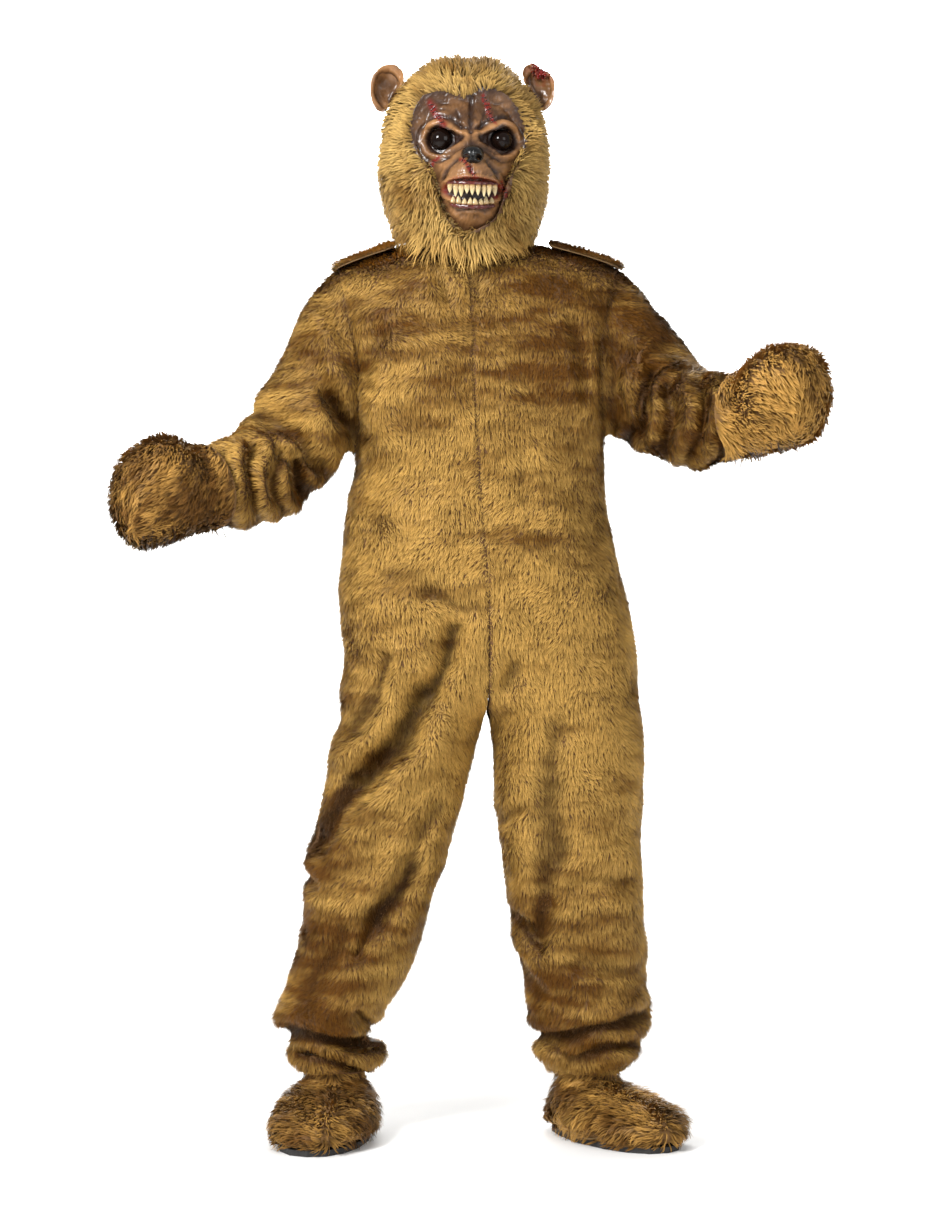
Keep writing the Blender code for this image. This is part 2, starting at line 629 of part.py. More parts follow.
BootRing = namedtuple("BootRing", "z toe heel half")
BOOT = [
    BootRing(0.010, -0.222, 0.078, 0.074),
    BootRing(0.020, -0.232, 0.084, 0.086),
    BootRing(0.036, -0.230, 0.084, 0.090),
    BootRing(0.051, -0.214, 0.080, 0.086),
    BootRing(0.063, -0.184, 0.074, 0.079),
    BootRing(0.073, -0.146, 0.068, 0.071),
    BootRing(0.0825, -0.090, 0.058, 0.058),
    BootRing(0.092, -0.053, 0.052, 0.0520),
    BootRing(0.098, -0.0494, 0.0494, 0.0494),
    BootRing(0.150, -0.0494, 0.0494, 0.0494),
]
BOOT_PLACE = {"right": (0.227, 0.030, 9), "left": (0.197, 0.028, 34)}
BOOT_COLUMNS = 16
BOOT_CLOTH = 0.010
SOLE_THICKNESS = 0.0096


def boot_outline(ring, inset):
    turn = 2 * np.pi * np.arange(BOOT_COLUMNS) / BOOT_COLUMNS
    middle = (ring.toe + ring.heel) / 2
    reach = (ring.heel - ring.toe) / 2 - inset
    y = middle + reach * signed_power(-np.cos(turn), 2 / 2.3)
    narrow = 1 - 0.16 * np.clip((y - middle) / np.maximum(reach, 1e-6), 0, 1)
    x = (ring.half - inset) * narrow * signed_power(np.sin(turn), 2 / 2.2)
    return np.stack([x, y, np.full_like(x, ring.z)], axis=1)


def placed_boot(points, side, sign):
    x, y, outward = BOOT_PLACE[side]
    angle = math.radians(outward)
    turned = np.stack(
        [
            points[..., 0] * math.cos(angle) - points[..., 1] * math.sin(angle) + x,
            points[..., 0] * math.sin(angle) + points[..., 1] * math.cos(angle) + y,
            points[..., 2],
        ],
        axis=-1,
    )
    return mirrored(turned, sign)


def build_boot(side, sign, plush, rubber):
    outer = np.array([boot_outline(ring, 0.0) for ring in BOOT])
    normals = grid_normals(
        np.concatenate([outer[:, -1:], outer, outer[:, :1]], axis=1)
    )[:, 1:-1]
    centre = outer.mean(axis=1, keepdims=True)
    facing = np.sign(np.sum(normals * (outer - centre), axis=(1, 2)))
    normals = normals * np.where(facing == 0, 1, facing)[:, None, None]
    normals[0, :, 2] = 0
    normals[-1, :, 2] = 0
    inner = outer - unit(normals) * BOOT_CLOTH
    cloth_wall(
        f"boot_{side}", placed_boot(outer, side, sign), placed_boot(inner, side, sign), plush, ring=True
    )
    edge = boot_outline(BOOT[0], 0.002)
    top, bottom = edge.copy(), edge.copy()
    top[:, 2] = SOLE_THICKNESS
    bottom[:, 2] = 0
    slab = placed_boot(np.concatenate([bottom, top]), side, sign)
    count = BOOT_COLUMNS
    faces = [tuple(range(count)), tuple(range(2 * count - 1, count - 1, -1))]
    faces += [(c, (c + 1) % count, count + (c + 1) % count, count + c) for c in range(count)]
    add_solid(f"sole_{side}", slab, faces, rubber)


# Neckband and shoulder tabs, laid out from the body's own points

BAND_HEIGHT = 0.020
BAND_ROWS = (0.0, 0.5, 1.0)
BAND_LEAN = 0.35  # how far it leans in to the neck
BAND_GAP = 0.0010
TAB_COLUMNS = (1.5, 1.65, 2.0, 2.5, 3.0, 4.0, 5.0, 6.0, 7.0, 8.5, 9.8)
TAB_ROUND = (0.30, 0.66, 0.90)  # share of the width at its rounded neck end
TAB_FRONT = -0.92  # across the seam: -1 is the front panel's row next to it
TAB_BACK = 0.45
TAB_ACROSS = 4
TAB_THICK = 0.006
TAB_SEAT = 0.0008
TAB_LIFT = 0.0030  # its long edges stand off the shoulder


def build_neckband(walls, look):
    """A low band round the neck opening, on the rims of the four panels."""
    rings = []
    for layer in (0, 1):
        halves = []
        for side, sign in SIDES:
            front, back = walls[side]["front"][layer], walls[side]["back"][layer]
            neck_rows = [-4, -3, -2, -1]
            half = [front[row, 0] for row in neck_rows] + [back[row, 0] for row in (-2, -3)]
            halves.append(mirrored(np.array(half), sign))
        right, left = halves
        right[0, 0] = left[0, 0] = (right[0, 0] + left[0, 0]) / 2
        right[-1, 0] = left[-1, 0] = (right[-1, 0] + left[-1, 0]) / 2
        ring = np.concatenate([left[:1], left[1:-1], left[-1:], right[-2:0:-1]])
        inward = unit(np.array([0, 0.02, 0]) - ring * np.array([1, 1, 0]))
        rise = unit(inward * BAND_LEAN + np.array([0, 0, 1]))
        rings.append([ring + rise * (BAND_GAP + BAND_HEIGHT * share) for share in BAND_ROWS])
    return cloth_wall("neckband", np.array(rings[0]), np.array(rings[1]), look, ring=True)


def shoulder_place(walls, column, across):
    """A point of the shoulder and its outward direction, off the panels' facets."""
    low = int(min(math.floor(column), PANEL_COLUMNS - 1))
    share = column - low
    face = "front" if across < 0 else "back"
    points = []
    for layer in (0, 1):
        rows = walls[face][layer]
        seam = rows[-1, low] * (1 - share) + rows[-1, low + 1] * share
        next_row = rows[-2, low] * (1 - share) + rows[-2, low + 1] * share
        points.append(seam * (1 - abs(across)) + next_row * abs(across))
    return points[0], unit(points[0] - points[1])


def build_shoulder_tab(side, sign, walls, look):
    top, bottom = [], []
    for index, column in enumerate(TAB_COLUMNS):
        wide = TAB_ROUND[index] if index < len(TAB_ROUND) else 1.0
        middle = (TAB_FRONT + TAB_BACK) / 2
        half = (TAB_BACK - TAB_FRONT) / 2 * wide
        marks = np.linspace(middle - half, middle + half, TAB_ACROSS)
        nearest = int(np.argmin(np.abs(marks)))
        if half > abs(middle):
            marks[nearest] = 0.0
        upper, lower = [], []
        for mark in marks:
            place, out = shoulder_place(walls, column, mark)
            seat = TAB_SEAT + TAB_LIFT * abs(mark)
            lower.append(place + out * seat)
            upper.append(place + out * (seat + TAB_THICK))
        top.append(upper)
        bottom.append(lower)
    return cloth_wall(
        f"shoulder_tab_{side}",
        mirrored(np.array(top), sign),
        mirrored(np.array(bottom), sign),
        look,
    )


# Mask: a plush hood open at the neck and in front, with a latex face behind that opening

HoodLevel = namedtuple("HoodLevel", "z half front back")
HOOD = [
    HoodLevel(1.462, 0.112, 0.131, 0.122),
    HoodLevel(1.480, 0.117, 0.135, 0.128),
    HoodLevel(1.510, 0.126, 0.140, 0.138),
    HoodLevel(1.545, 0.138, 0.143, 0.146),
    HoodLevel(1.585, 0.144, 0.142, 0.151),
    HoodLevel(1.630, 0.143, 0.137, 0.153),
    HoodLevel(1.675, 0.137, 0.129, 0.149),
    HoodLevel(1.715, 0.125, 0.116, 0.138),
    HoodLevel(1.750, 0.105, 0.097, 0.118),
    HoodLevel(1.775, 0.082, 0.075, 0.094),
    HoodLevel(1.792, 0.055, 0.050, 0.064),
    HoodLevel(1.801, 0.026, 0.024, 0.032),
]
HOOD_TOP = 1.803
HOOD_X = -0.010
HOOD_Y = 0.004
HOOD_SQUARE = 2.25
HOOD_ROWS = [1.464, 1.474, 1.486, 1.491, 1.505, 1.523, 1.541, 1.560, 1.576, 1.592, 1.610, 1.632,
             1.654, 1.675, 1.693, 1.7095, 1.7205, 1.7265, 1.730, 1.750, 1.772, 1.789, 1.799]
HOOD_COLUMNS = 9
HOOD_MIDDLE = 1.62  # the height that all of the hood's wall faces away from
CHIN_ROW = 7  # the neck edge rises and falls only below this row
HEM_LEVEL = 0.2  # the wall's thickness lies nearly level along the hood's hem
NECK_RISE_SIDE = 0.0258  # the hood's lower edge is higher over the shoulders
NECK_RISE_BACK = 0.012

FaceEdge = namedtuple("FaceEdge", "z half")
FACE_OPENING = [
    FaceEdge(1.490, 0.027),
    FaceEdge(1.507, 0.044),
    FaceEdge(1.523, 0.0525),
    FaceEdge(1.541, 0.057),
    FaceEdge(1.560, 0.0615),
    FaceEdge(1.576, 0.0665),
    FaceEdge(1.592, 0.077),
    FaceEdge(1.608, 0.088),
    FaceEdge(1.628, 0.0955),
    FaceEdge(1.650, 0.0975),
    FaceEdge(1.673, 0.0935),
    FaceEdge(1.693, 0.083),
    FaceEdge(1.7105, 0.064),
    FaceEdge(1.7205, 0.045),
    FaceEdge(1.7270, 0.024),
]
FACE_X = 0.002
FACE_UNDER = 0.008  # the latex edge runs this far under the hood
FACE_BEHIND = 0.0209  # from the hood's outside to the latex edge
EDGE_CLEAR = 0.009  # the relief starts this far inside the opening
EDGE_RISE = 0.016
EDGE_ROUND = 0.8
FACE_SWELL = 0.006  # the whole face stands this far out, apart from its relief
STEEPEST = 1.6  # keeps the wall's inside from folding over at the muzzle's sides
SLOPE_STEP = 0.002

Relief = namedtuple("Relief", "x z out half_x half_z twin")
FACE_RELIEF = [
    Relief(0.000, 1.577, 0.056, 0.046, 0.040, False),  # muzzle
    Relief(0.000, 1.545, 0.016, 0.050, 0.024, False),  # jaw
    Relief(0.000, 1.511, 0.030, 0.030, 0.019, False),  # chin
    Relief(0.028, 1.583, 0.012, 0.017, 0.013, True),  # muzzle cheeks
    Relief(0.000, 1.628, 0.030, 0.020, 0.028, False),  # bridge of the nose
    Relief(0.046, 1.674, 0.018, 0.030, 0.012, True),  # brows
    Relief(0.040, 1.702, 0.008, 0.026, 0.014, True),  # forehead lobes
    Relief(0.000, 1.668, 0.010, 0.010, 0.014, False),  # frown
    Relief(0.078, 1.622, 0.009, 0.014, 0.018, True),  # cheeks
    Relief(0.049, 1.642, -0.012, 0.022, 0.016, True),  # eye sockets
    Relief(0.000, 1.5475, -0.024, 0.042, 0.012, False),  # mouth
]
Cap = namedtuple("Cap", "across z radius height gap")
EYE = Cap(0.0485, 1.6425, 0.0190, 0.012, 0.0019)
NOSE = Cap(0.002, 1.6060, 0.0215, 0.014, 0.0040)


def hood_size(name, z):
    """One of the hood's sizes at a height."""
    return smooth_column(HOOD, name, "z", z)


def hood_y(x, z, inset):
    """Front of the hood's form, drawn in by inset, at places of the front view."""
    reach = np.clip(np.abs(x - HOOD_X) / (hood_size("half", z) - inset), 0, 0.999)
    return HOOD_Y - (hood_size("front", z) - inset) * (1 - reach**HOOD_SQUARE) ** (1 / HOOD_SQUARE)


def hood_point(row_z, turn, sign):
    """A point of the hood: turn 0 in front, pi behind, sign its side."""
    low = np.clip((HOOD_ROWS[CHIN_ROW] - row_z) / (HOOD_ROWS[CHIN_ROW] - HOOD_ROWS[0]), 0, 1)
    rise = NECK_RISE_SIDE * np.sin(turn) ** 2 + NECK_RISE_BACK * (1 - np.cos(turn)) / 2
    z = row_z + rise * low
    deep = np.where(np.cos(turn) > 0, hood_size("front", z), hood_size("back", z))
    x = HOOD_X + sign * hood_size("half", z) * signed_power(np.sin(turn), 2 / HOOD_SQUARE)
    y = HOOD_Y - deep * signed_power(np.cos(turn), 2 / HOOD_SQUARE)
    return np.stack([x, y, z], axis=-1)


def face_half(z):
    """Half width of the face opening at a height, and 0 above and below it."""
    inside = (z >= FACE_OPENING[0].z - 1e-6) & (z <= FACE_OPENING[-1].z + 1e-6)
    return np.where(inside, smooth_column(FACE_OPENING, "half", "z", z), 0.0)


def opening_turn(row_z, sign):
    """The turn at which a row of the hood meets the edge of the face opening."""
    turns = np.linspace(0, math.pi / 2, 400)
    points = hood_point(row_z, turns, sign)
    edge = face_half(points[:, 2])
    open_here = sign * (points[:, 0] - FACE_X) < edge
    closed = np.nonzero(~(open_here & (edge > 0)))[0]
    return turns[closed[0] - 1] if closed[0] else 0.0


def build_hood(side, sign, look):
    """Half of the hood, from the face opening round to the seam at the back."""
    rows = []
    starts = []
    for row_z in HOOD_ROWS:
        start = opening_turn(row_z, sign)
        starts.append(start)
        rows.append(hood_point(row_z, np.linspace(start, math.pi, HOOD_COLUMNS), sign))
    outer = np.array(rows)
    before = outer[:, 1].copy()
    before[:, 0] = 2 * HOOD_X - before[:, 0]
    after = outer[:, -2].copy()
    after[:, 0] = 2 * HOOD_X - after[:, 0]
    crown = np.full_like(outer[-1], 0)
    crown[:] = (HOOD_X, HOOD_Y, HOOD_TOP)
    normals = grid_normals(outer, before=before, after=after, above=crown)
    own = grid_normals(outer, above=crown)
    started = np.array(starts) > 0
    normals[started, 0] = own[started, 0]
    middle = np.array([HOOD_X, HOOD_Y, HOOD_MIDDLE])
    inward = np.sum(normals * (outer - middle), axis=-1, keepdims=True) < 0
    normals = np.where(inward, -normals, normals)
    normals[~started, 0, 0] = 0
    normals[:, -1, 0] = 0
    normals[0, :, 2] *= HEM_LEVEL
    inner = outer - unit(normals) * MASK_CLOTH
    layers = []
    for layer, top in ((outer, HOOD_TOP), (inner, HOOD_TOP - MASK_CLOTH)):
        crown_row = np.broadcast_to((HOOD_X, HOOD_Y, top), (1, HOOD_COLUMNS, 3))
        wall = np.concatenate([layer, crown_row])
        near = sign * (wall[..., 0] - HOOD_X) < SEAM_GAP / 2
        wall[..., 0] = np.where(near, HOOD_X + sign * SEAM_GAP / 2, wall[..., 0])
        layers.append(wall)
    return cloth_wall(f"hood_{side}", layers[0], layers[1], look)


FACE_ROWS = 21
FACE_COLUMNS = 16
FACE_LOW = FACE_OPENING[0].z - FACE_UNDER
FACE_HIGH = FACE_OPENING[-1].z + FACE_UNDER


def face_half_wide(z):
    """Half width of the latex, which reaches past the opening on every side."""
    held = np.clip(z, FACE_OPENING[0].z, FACE_OPENING[-1].z)
    past = np.abs(z - held)
    return smooth_column(FACE_OPENING, "half", "z", held) + FACE_UNDER - past


def face_surface(x, z):
    """The latex face's outside: the hood's form drawn in, with its relief."""
    base = hood_y(x, z, FACE_BEHIND)
    inside = np.minimum(z - FACE_OPENING[0].z, FACE_OPENING[-1].z - z)
    inside = np.minimum(inside, face_half_wide(z) - FACE_UNDER - np.abs(x - FACE_X))
    held = np.clip((inside - EDGE_CLEAR) / EDGE_RISE, 0, 1) ** EDGE_ROUND
    out = np.full_like(base, FACE_SWELL)
    for bump in FACE_RELIEF:
        for place in (bump.x, -bump.x) if bump.twin else (bump.x,):
            away = ((x - FACE_X - place) / bump.half_x) ** 2 + ((z - bump.z) / bump.half_z) ** 2
            out += bump.out * np.exp(-away)
    return base - held * out


def face_grid():
    """The face's points, in rows from the chin up."""
    z = np.linspace(FACE_LOW, FACE_HIGH, FACE_ROWS)[:, None]
    across = np.linspace(-1, 1, FACE_COLUMNS)[None]
    x = FACE_X + face_half_wide(z) * across
    z = np.broadcast_to(z, x.shape)
    return np.stack([x, face_surface(x, z), z], axis=-1)


def build_face(look):
    """The latex face, one thin wall behind its grid."""
    grid = face_grid()
    x, z = grid[..., 0], grid[..., 2]
    step = SLOPE_STEP
    slope_x = (face_surface(x + step, z) - face_surface(x - step, z)) / (2 * step)
    slope_z = (face_surface(x, z + step) - face_surface(x, z - step)) / (2 * step)
    slope_x = np.clip(slope_x, -STEEPEST, STEEPEST)
    slope_z = np.clip(slope_z, -STEEPEST, STEEPEST)
    normals = unit(np.stack([slope_x, -np.ones_like(slope_x), slope_z], axis=-1))
    return cloth_wall("face", grid, grid - normals * LATEX, look)


def on_face(x, z):
    """Depth of the face's own facets at a place of the front view."""
    grid = face_grid()
    row = (z - FACE_LOW) / (FACE_HIGH - FACE_LOW) * (FACE_ROWS - 1)
    r = int(np.clip(math.floor(row), 0, FACE_ROWS - 2))
    line = grid[r] * (1 - (row - r)) + grid[r + 1] * (row - r)
    return float(np.interp(x, line[:, 0], line[:, 1]))


def lens(name, front, back, look):
    """A closed cap between two fans of rings: each is a centre point and then its rings."""
    columns = len(front[1])
    rings = len(front) - 1
    points = []
    for fan in (front, back):
        points.append(tuple(fan[0]))
        for ring in fan[1:]:
            points.extend(tuple(point) for point in ring)
    count = 1 + rings * columns
    faces = []
    for base, turned in ((0, False), (count, True)):
        for step in range(columns):
            ahead = (step + 1) % columns
            fan_faces = [(base, base + 1 + step, base + 1 + ahead)]
            for ring in range(rings - 1):
                a = base + 1 + ring * columns
                fan_faces.append((a + step, a + columns + step, a + columns + ahead, a + ahead))
            faces += [face[::-1] if turned else face for face in fan_faces]
    rim = 1 + (rings - 1) * columns
    for step in range(columns):
        ahead = (step + 1) % columns
        faces.append((rim + step, rim + ahead, count + rim + ahead, count + rim + step)[::-1])
    return add_solid(name, points, faces, look)


CAP_COLUMNS = 12
CAP_RINGS = (0.45, 0.8, 1.0)
CAP_EDGE = 0.0012  # least thickness, at its rim
NOSE_SQUASH = 0.84  # its height as a share of its width


def build_cap(name, x, squash, cap, look):
    """A glossy cap on the face: an eye or the nose."""
    z, gap = cap.z, cap.gap
    base = on_face(x, z)
    front, back = [(x, base - gap - cap.height, z)], [(x, base - gap, z)]
    for share in CAP_RINGS:
        turn = 2 * np.pi * np.arange(CAP_COLUMNS) / CAP_COLUMNS
        px = x + cap.radius * share * np.cos(turn)
        pz = z + cap.radius * squash * share * np.sin(turn)
        seat = np.array([on_face(a, b) for a, b in zip(px, pz)]) - gap
        bulge = base - gap - cap.height * math.sqrt(max(1 - share**2, 0))
        back.append(np.stack([px, seat, pz], axis=1))
        front.append(np.stack([px, np.minimum(seat - CAP_EDGE, bulge), pz], axis=1))
    return lens(name, front, back, look)


Jaw = namedtuple("Jaw", "gum gum_line tip rise half teeth")
JAWS = {
    "teeth_upper": Jaw(1.5645, 1.5590, 1.5475, -0.004, 0.041, 9),
    "teeth_lower": Jaw(1.5290, 1.5345, 1.5450, -0.006, 0.036, 8),
}
TEETH_THICK = 0.0045
TEETH_GAP = 0.0022
JAW_X = 0.002  # the grin sits a little to the wearer's left of the face's middle
TEETH_SWELL = (0.7, 1.0, 0.45)  # share of the thickness at the gum, the gum line and the tips
BETWEEN_TEETH = 0.25  # how far down the gap between two teeth lies, as a share of a tooth


def build_teeth(name, look):
    """A gum strip with pointed teeth, bent round the jaw."""
    jaw = JAWS[name]
    steps = 2 * jaw.teeth + 1
    across = np.linspace(-1, 1, steps)
    x = FACE_X + JAW_X + jaw.half * across
    sag = jaw.rise * (1 - across**2)
    between = jaw.gum_line + (jaw.tip - jaw.gum_line) * BETWEEN_TEETH
    tip = np.where(np.arange(steps) % 2 == 1, jaw.tip, between)
    rows = [jaw.gum + sag, jaw.gum_line + sag, tip + sag]
    front, back = [], []
    for z, share in zip(rows, TEETH_SWELL):
        seat = np.array([on_face(a, b) for a, b in zip(x, z)]) - TEETH_GAP
        back.append(np.stack([x, seat, z], axis=1))
        front.append(np.stack([x, seat - TEETH_THICK * share, z], axis=1))
    return cloth_wall(name, np.array(front), np.array(back), look)


Ear = namedtuple("Ear", "x y z wide high")
EARS = {
    "right": Ear(-0.133, -0.010, 1.742, 0.034, 0.044),
    "left": Ear(0.1085, -0.010, 1.744, 0.034, 0.045),
}
EAR_COLUMNS = 16
EAR_RINGS = (0.45, 0.8, 1.0)
EAR_CUP = 0.016
EAR_WALL = 0.0045
EAR_SEAT = 0.0006
EAR_CORE = 0.10  # the ear is never cut back past this share of its radius
EAR_STEP = 0.006
EAR_CURL = 0.004  # the rim curls this far forward
TEAR = (62, 16, 0.30)  # direction in degrees, half width, share of the radius torn away


def near_hood(tree, point):
    """Whether the ear's edge, front or back, would come nearer to the hood than its seat."""
    for depth in (0.0, EAR_WALL):
        place, normal, _, distance = tree.find_nearest(Vector(point) + Vector((0, depth, 0)))
        inside = (Vector(point) - place).dot(normal) < 0
        if inside or distance < EAR_SEAT:
            return True
    return False


def build_ear(side, hood, look):
    """A cupped ear whose foot follows the hood's own facets."""
    ear = EARS[side]
    tree = BVHTree.FromObject(hood, bpy.context.evaluated_depsgraph_get())
    front, back = [], []
    for share in (0.0,) + EAR_RINGS:
        ring_front, ring_back = [], []
        for step in range(EAR_COLUMNS if share else 1):
            turn = 2 * math.pi * step / EAR_COLUMNS
            reach = 1.0
            if side == "left":
                away = (math.degrees(turn) - TEAR[0] + 180) % 360 - 180
                reach -= TEAR[2] * math.exp(-((away / TEAR[1]) ** 2))
            direction = np.array([ear.wide * math.cos(turn), 0, ear.high * math.sin(turn)])
            centre = np.array([ear.x, ear.y, ear.z])
            free = EAR_CORE
            while free < reach and not near_hood(tree, centre + direction * (free + EAR_STEP)):
                free += EAR_STEP
            reach = min(reach, free)
            place = centre + direction * reach * share
            cup = EAR_CUP * (1 - share**2)
            curl = -EAR_CURL * share**6
            ring_front.append((place[0], ear.y + cup + curl, place[2]))
            ring_back.append((place[0], ear.y + cup + curl + EAR_WALL, place[2]))
        front.append(np.array(ring_front) if share else ring_front[0])
        back.append(np.array(ring_back) if share else ring_back[0])
    return lens(f"ear_{side}", front, back, look)


clear_scene()
PARTS = bpy.data.collections.new("bear_mascot_costume")
bpy.context.scene.collection.children.link(PARTS)
CARRIER = bpy.data.objects.new("costume", None)
CARRIER.location = (0, 0, -SHOULDER_HEIGHT)
PARTS.objects.link(CARRIER)

PLUSH = material("suit_plush", (0.30, 0.17, 0.06), 0.9)
LONG_PLUSH = material("mitt_plush", (0.45, 0.26, 0.08), 0.9)
SOLE_RUBBER = material("sole_rubber", (0.03, 0.02, 0.015), 0.7)
MASK_PLUSH = material("mask_plush", (0.55, 0.36, 0.15), 0.9)
LATEX_BROWN = material("latex", (0.16, 0.07, 0.035), 0.35)
EYE_BLACK = material("eye_gloss", (0.01, 0.009, 0.008), 0.08)
NOSE_BLACK = material("nose_gloss", (0.015, 0.013, 0.012), 0.3)
TOOTH = material("tooth", (0.70, 0.58, 0.36), 0.35)
body_walls = {}
for side_name, side_sign in SIDES:
    body_walls[side_name], armhole_ring = build_suit_body(side_name, side_sign, PLUSH)
    build_shoulder_tab(side_name, side_sign, body_walls[side_name], PLUSH)
    build_sleeve(side_name, side_sign, armhole_ring, PLUSH)
    build_mitt(side_name, side_sign, LONG_PLUSH)
    build_boot(side_name, side_sign, LONG_PLUSH, SOLE_RUBBER)
    hood_half = build_hood(side_name, side_sign, MASK_PLUSH)
    build_ear(side_name, hood_half, LATEX_BROWN)
    eye_x = FACE_X + side_sign * EYE.across
    build_cap(f"eye_{side_name}", eye_x, 1.0, EYE, EYE_BLACK)
build_neckband(body_walls, PLUSH)
build_face(LATEX_BROWN)
build_cap("nose", FACE_X + NOSE.across, NOSE_SQUASH, NOSE, NOSE_BLACK)
for jaw_name in JAWS:
    build_teeth(jaw_name, TOOTH)
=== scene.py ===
# %% [markdown]
# # A scary bear costume in plush and latex
# The real thing is a loose plush jumpsuit with mitts, boot covers and a mask: a hood of longer plush with a
# glossy latex face set in it. The frame gives every sewn piece as a plain wall of cloth at its real size.
# This script dresses each wall: a thin backing cloth with its creases, then the pile that stands on it.

# %% Load the frame
import math
from collections import namedtuple

import bmesh
import bpy
import numpy as np
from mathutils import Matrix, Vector, geometry
from mathutils.bvhtree import BVHTree
from mathutils.kdtree import KDTree


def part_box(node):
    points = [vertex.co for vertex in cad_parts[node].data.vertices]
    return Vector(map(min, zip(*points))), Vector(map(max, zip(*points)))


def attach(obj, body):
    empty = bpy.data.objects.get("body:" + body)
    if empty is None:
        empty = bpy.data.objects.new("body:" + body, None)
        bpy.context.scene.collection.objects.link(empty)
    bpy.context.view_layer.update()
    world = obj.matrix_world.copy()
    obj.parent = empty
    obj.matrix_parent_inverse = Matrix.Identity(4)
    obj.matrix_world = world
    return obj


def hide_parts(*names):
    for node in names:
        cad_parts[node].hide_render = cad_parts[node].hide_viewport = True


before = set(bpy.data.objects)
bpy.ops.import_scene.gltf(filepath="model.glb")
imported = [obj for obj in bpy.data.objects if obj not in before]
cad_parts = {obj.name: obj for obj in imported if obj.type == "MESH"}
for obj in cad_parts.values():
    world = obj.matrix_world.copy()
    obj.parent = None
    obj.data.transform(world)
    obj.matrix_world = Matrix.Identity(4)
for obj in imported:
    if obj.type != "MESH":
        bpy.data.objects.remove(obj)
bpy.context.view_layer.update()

FLOOR = -1.490
SIDES = ("right", "left")

# %% [markdown]
# ## The camera, the floor and the light
# The costume was photographed level, from about the height of its middle and from some way off. A large soft
# key light stands on the left of the picture and a weaker fill light on the right, which is why the arm on
# the right is the darker one. A third light rims the costume from behind, and a fourth one keeps the pale
# sweep behind it bright.

# %% Place the camera
EYE_HEIGHT = 0.88
EYE_DISTANCE = 4.5
LENS_MM = 79.85
SENSOR_MM = 36.0

camera_data = bpy.data.cameras.new("camera")
camera_data.lens = LENS_MM
camera_data.sensor_width = SENSOR_MM
camera = bpy.data.objects.new("camera", camera_data)
camera.location = (0.0, -EYE_DISTANCE, FLOOR + EYE_HEIGHT)
camera.rotation_euler = (math.radians(90), 0.0, 0.0)
bpy.context.scene.collection.objects.link(camera)
bpy.context.scene.camera = camera
print(f"the camera stands {EYE_DISTANCE} m in front of the costume, {EYE_HEIGHT} m up")

# %% Light it
WORLD_GLOW = 0.45
AIM_HEIGHT = -0.55
Lamp = namedtuple("Lamp", "name x y z width watts aim_y")
LAMPS = (
    Lamp("key light", -2.3, -2.9, 1.50, 1.2, 240, 0.0),
    Lamp("fill light", 2.5, -3.3, 0.80, 2.2, 55, 0.0),
    Lamp("back light", 0.6, 2.6, 1.80, 2.0, 70, 0.0),
    Lamp("backdrop light", 0.0, 5.2, 3.20, 3.0, 650, 8.0),
)
for lamp in LAMPS:
    data = bpy.data.lights.new(lamp.name, "AREA")
    data.size = lamp.width
    data.energy = lamp.watts
    light = bpy.data.objects.new(lamp.name, data)
    light.location = (lamp.x, lamp.y, lamp.z)
    towards = Vector((0, lamp.aim_y, AIM_HEIGHT)) - light.location
    light.rotation_euler = towards.to_track_quat("-Z", "Y").to_euler()
    bpy.context.scene.collection.objects.link(light)

world = bpy.data.worlds.new("studio")
world.use_nodes = True
world.node_tree.nodes["Background"].inputs["Color"].default_value = (1.0, 1.0, 1.0, 1.0)
world.node_tree.nodes["Background"].inputs["Strength"].default_value = WORLD_GLOW
bpy.context.scene.world = world
bpy.context.scene.view_settings.view_transform = "Standard"
print(len(LAMPS), "lamps, the brightest on the sweep")


# %% Lay the pale sweep
def plain_material(name, colour, roughness, **more):
    """A Principled material with the values set on its own sockets."""
    made = bpy.data.materials.new(name)
    made.use_nodes = True
    shader = made.node_tree.nodes["Principled BSDF"]
    shader.inputs["Base Color"].default_value = (*colour, 1.0)
    shader.inputs["Roughness"].default_value = roughness
    for socket, value in more.items():
        shader.inputs[socket.replace("_", " ")].default_value = value
    return made


def new_object(name, points, faces, look):
    """An object from points and faces, smooth shaded, linked to the scene."""
    mesh = bpy.data.meshes.new(name)
    mesh.from_pydata([tuple(p) for p in points], [], [tuple(f) for f in faces])
    mesh.validate()
    made = bpy.data.objects.new(name, mesh)
    bpy.context.scene.collection.objects.link(made)
    mesh.materials.append(look)
    mesh.shade_smooth()
    return made


SWEEP_HALF = 8.0
SWEEP_FRONT = -9.0
SWEEP_BACK = 7.5
SWEEP_BEND = 1.2
SWEEP_TOP = 5.0
profile = [(SWEEP_FRONT, FLOOR), (SWEEP_BACK - SWEEP_BEND, FLOOR)]
profile += [
    (SWEEP_BACK - SWEEP_BEND + SWEEP_BEND * math.sin(a), FLOOR + SWEEP_BEND * (1 - math.cos(a)))
    for a in np.linspace(0.1, math.pi / 2, 12)
]
profile += [(SWEEP_BACK, SWEEP_TOP)]
sweep_points = [(x, y, z) for y, z in profile for x in (-SWEEP_HALF, SWEEP_HALF)]
sweep_faces = [(2 * i, 2 * i + 1, 2 * i + 3, 2 * i + 2) for i in range(len(profile) - 1)]
sweep_look = plain_material("pale sweep", (0.90, 0.90, 0.89), 0.9)
sweep = new_object("sweep", sweep_points, sweep_faces, sweep_look)
print("the sweep bends up in", len(sweep_faces), "faces")

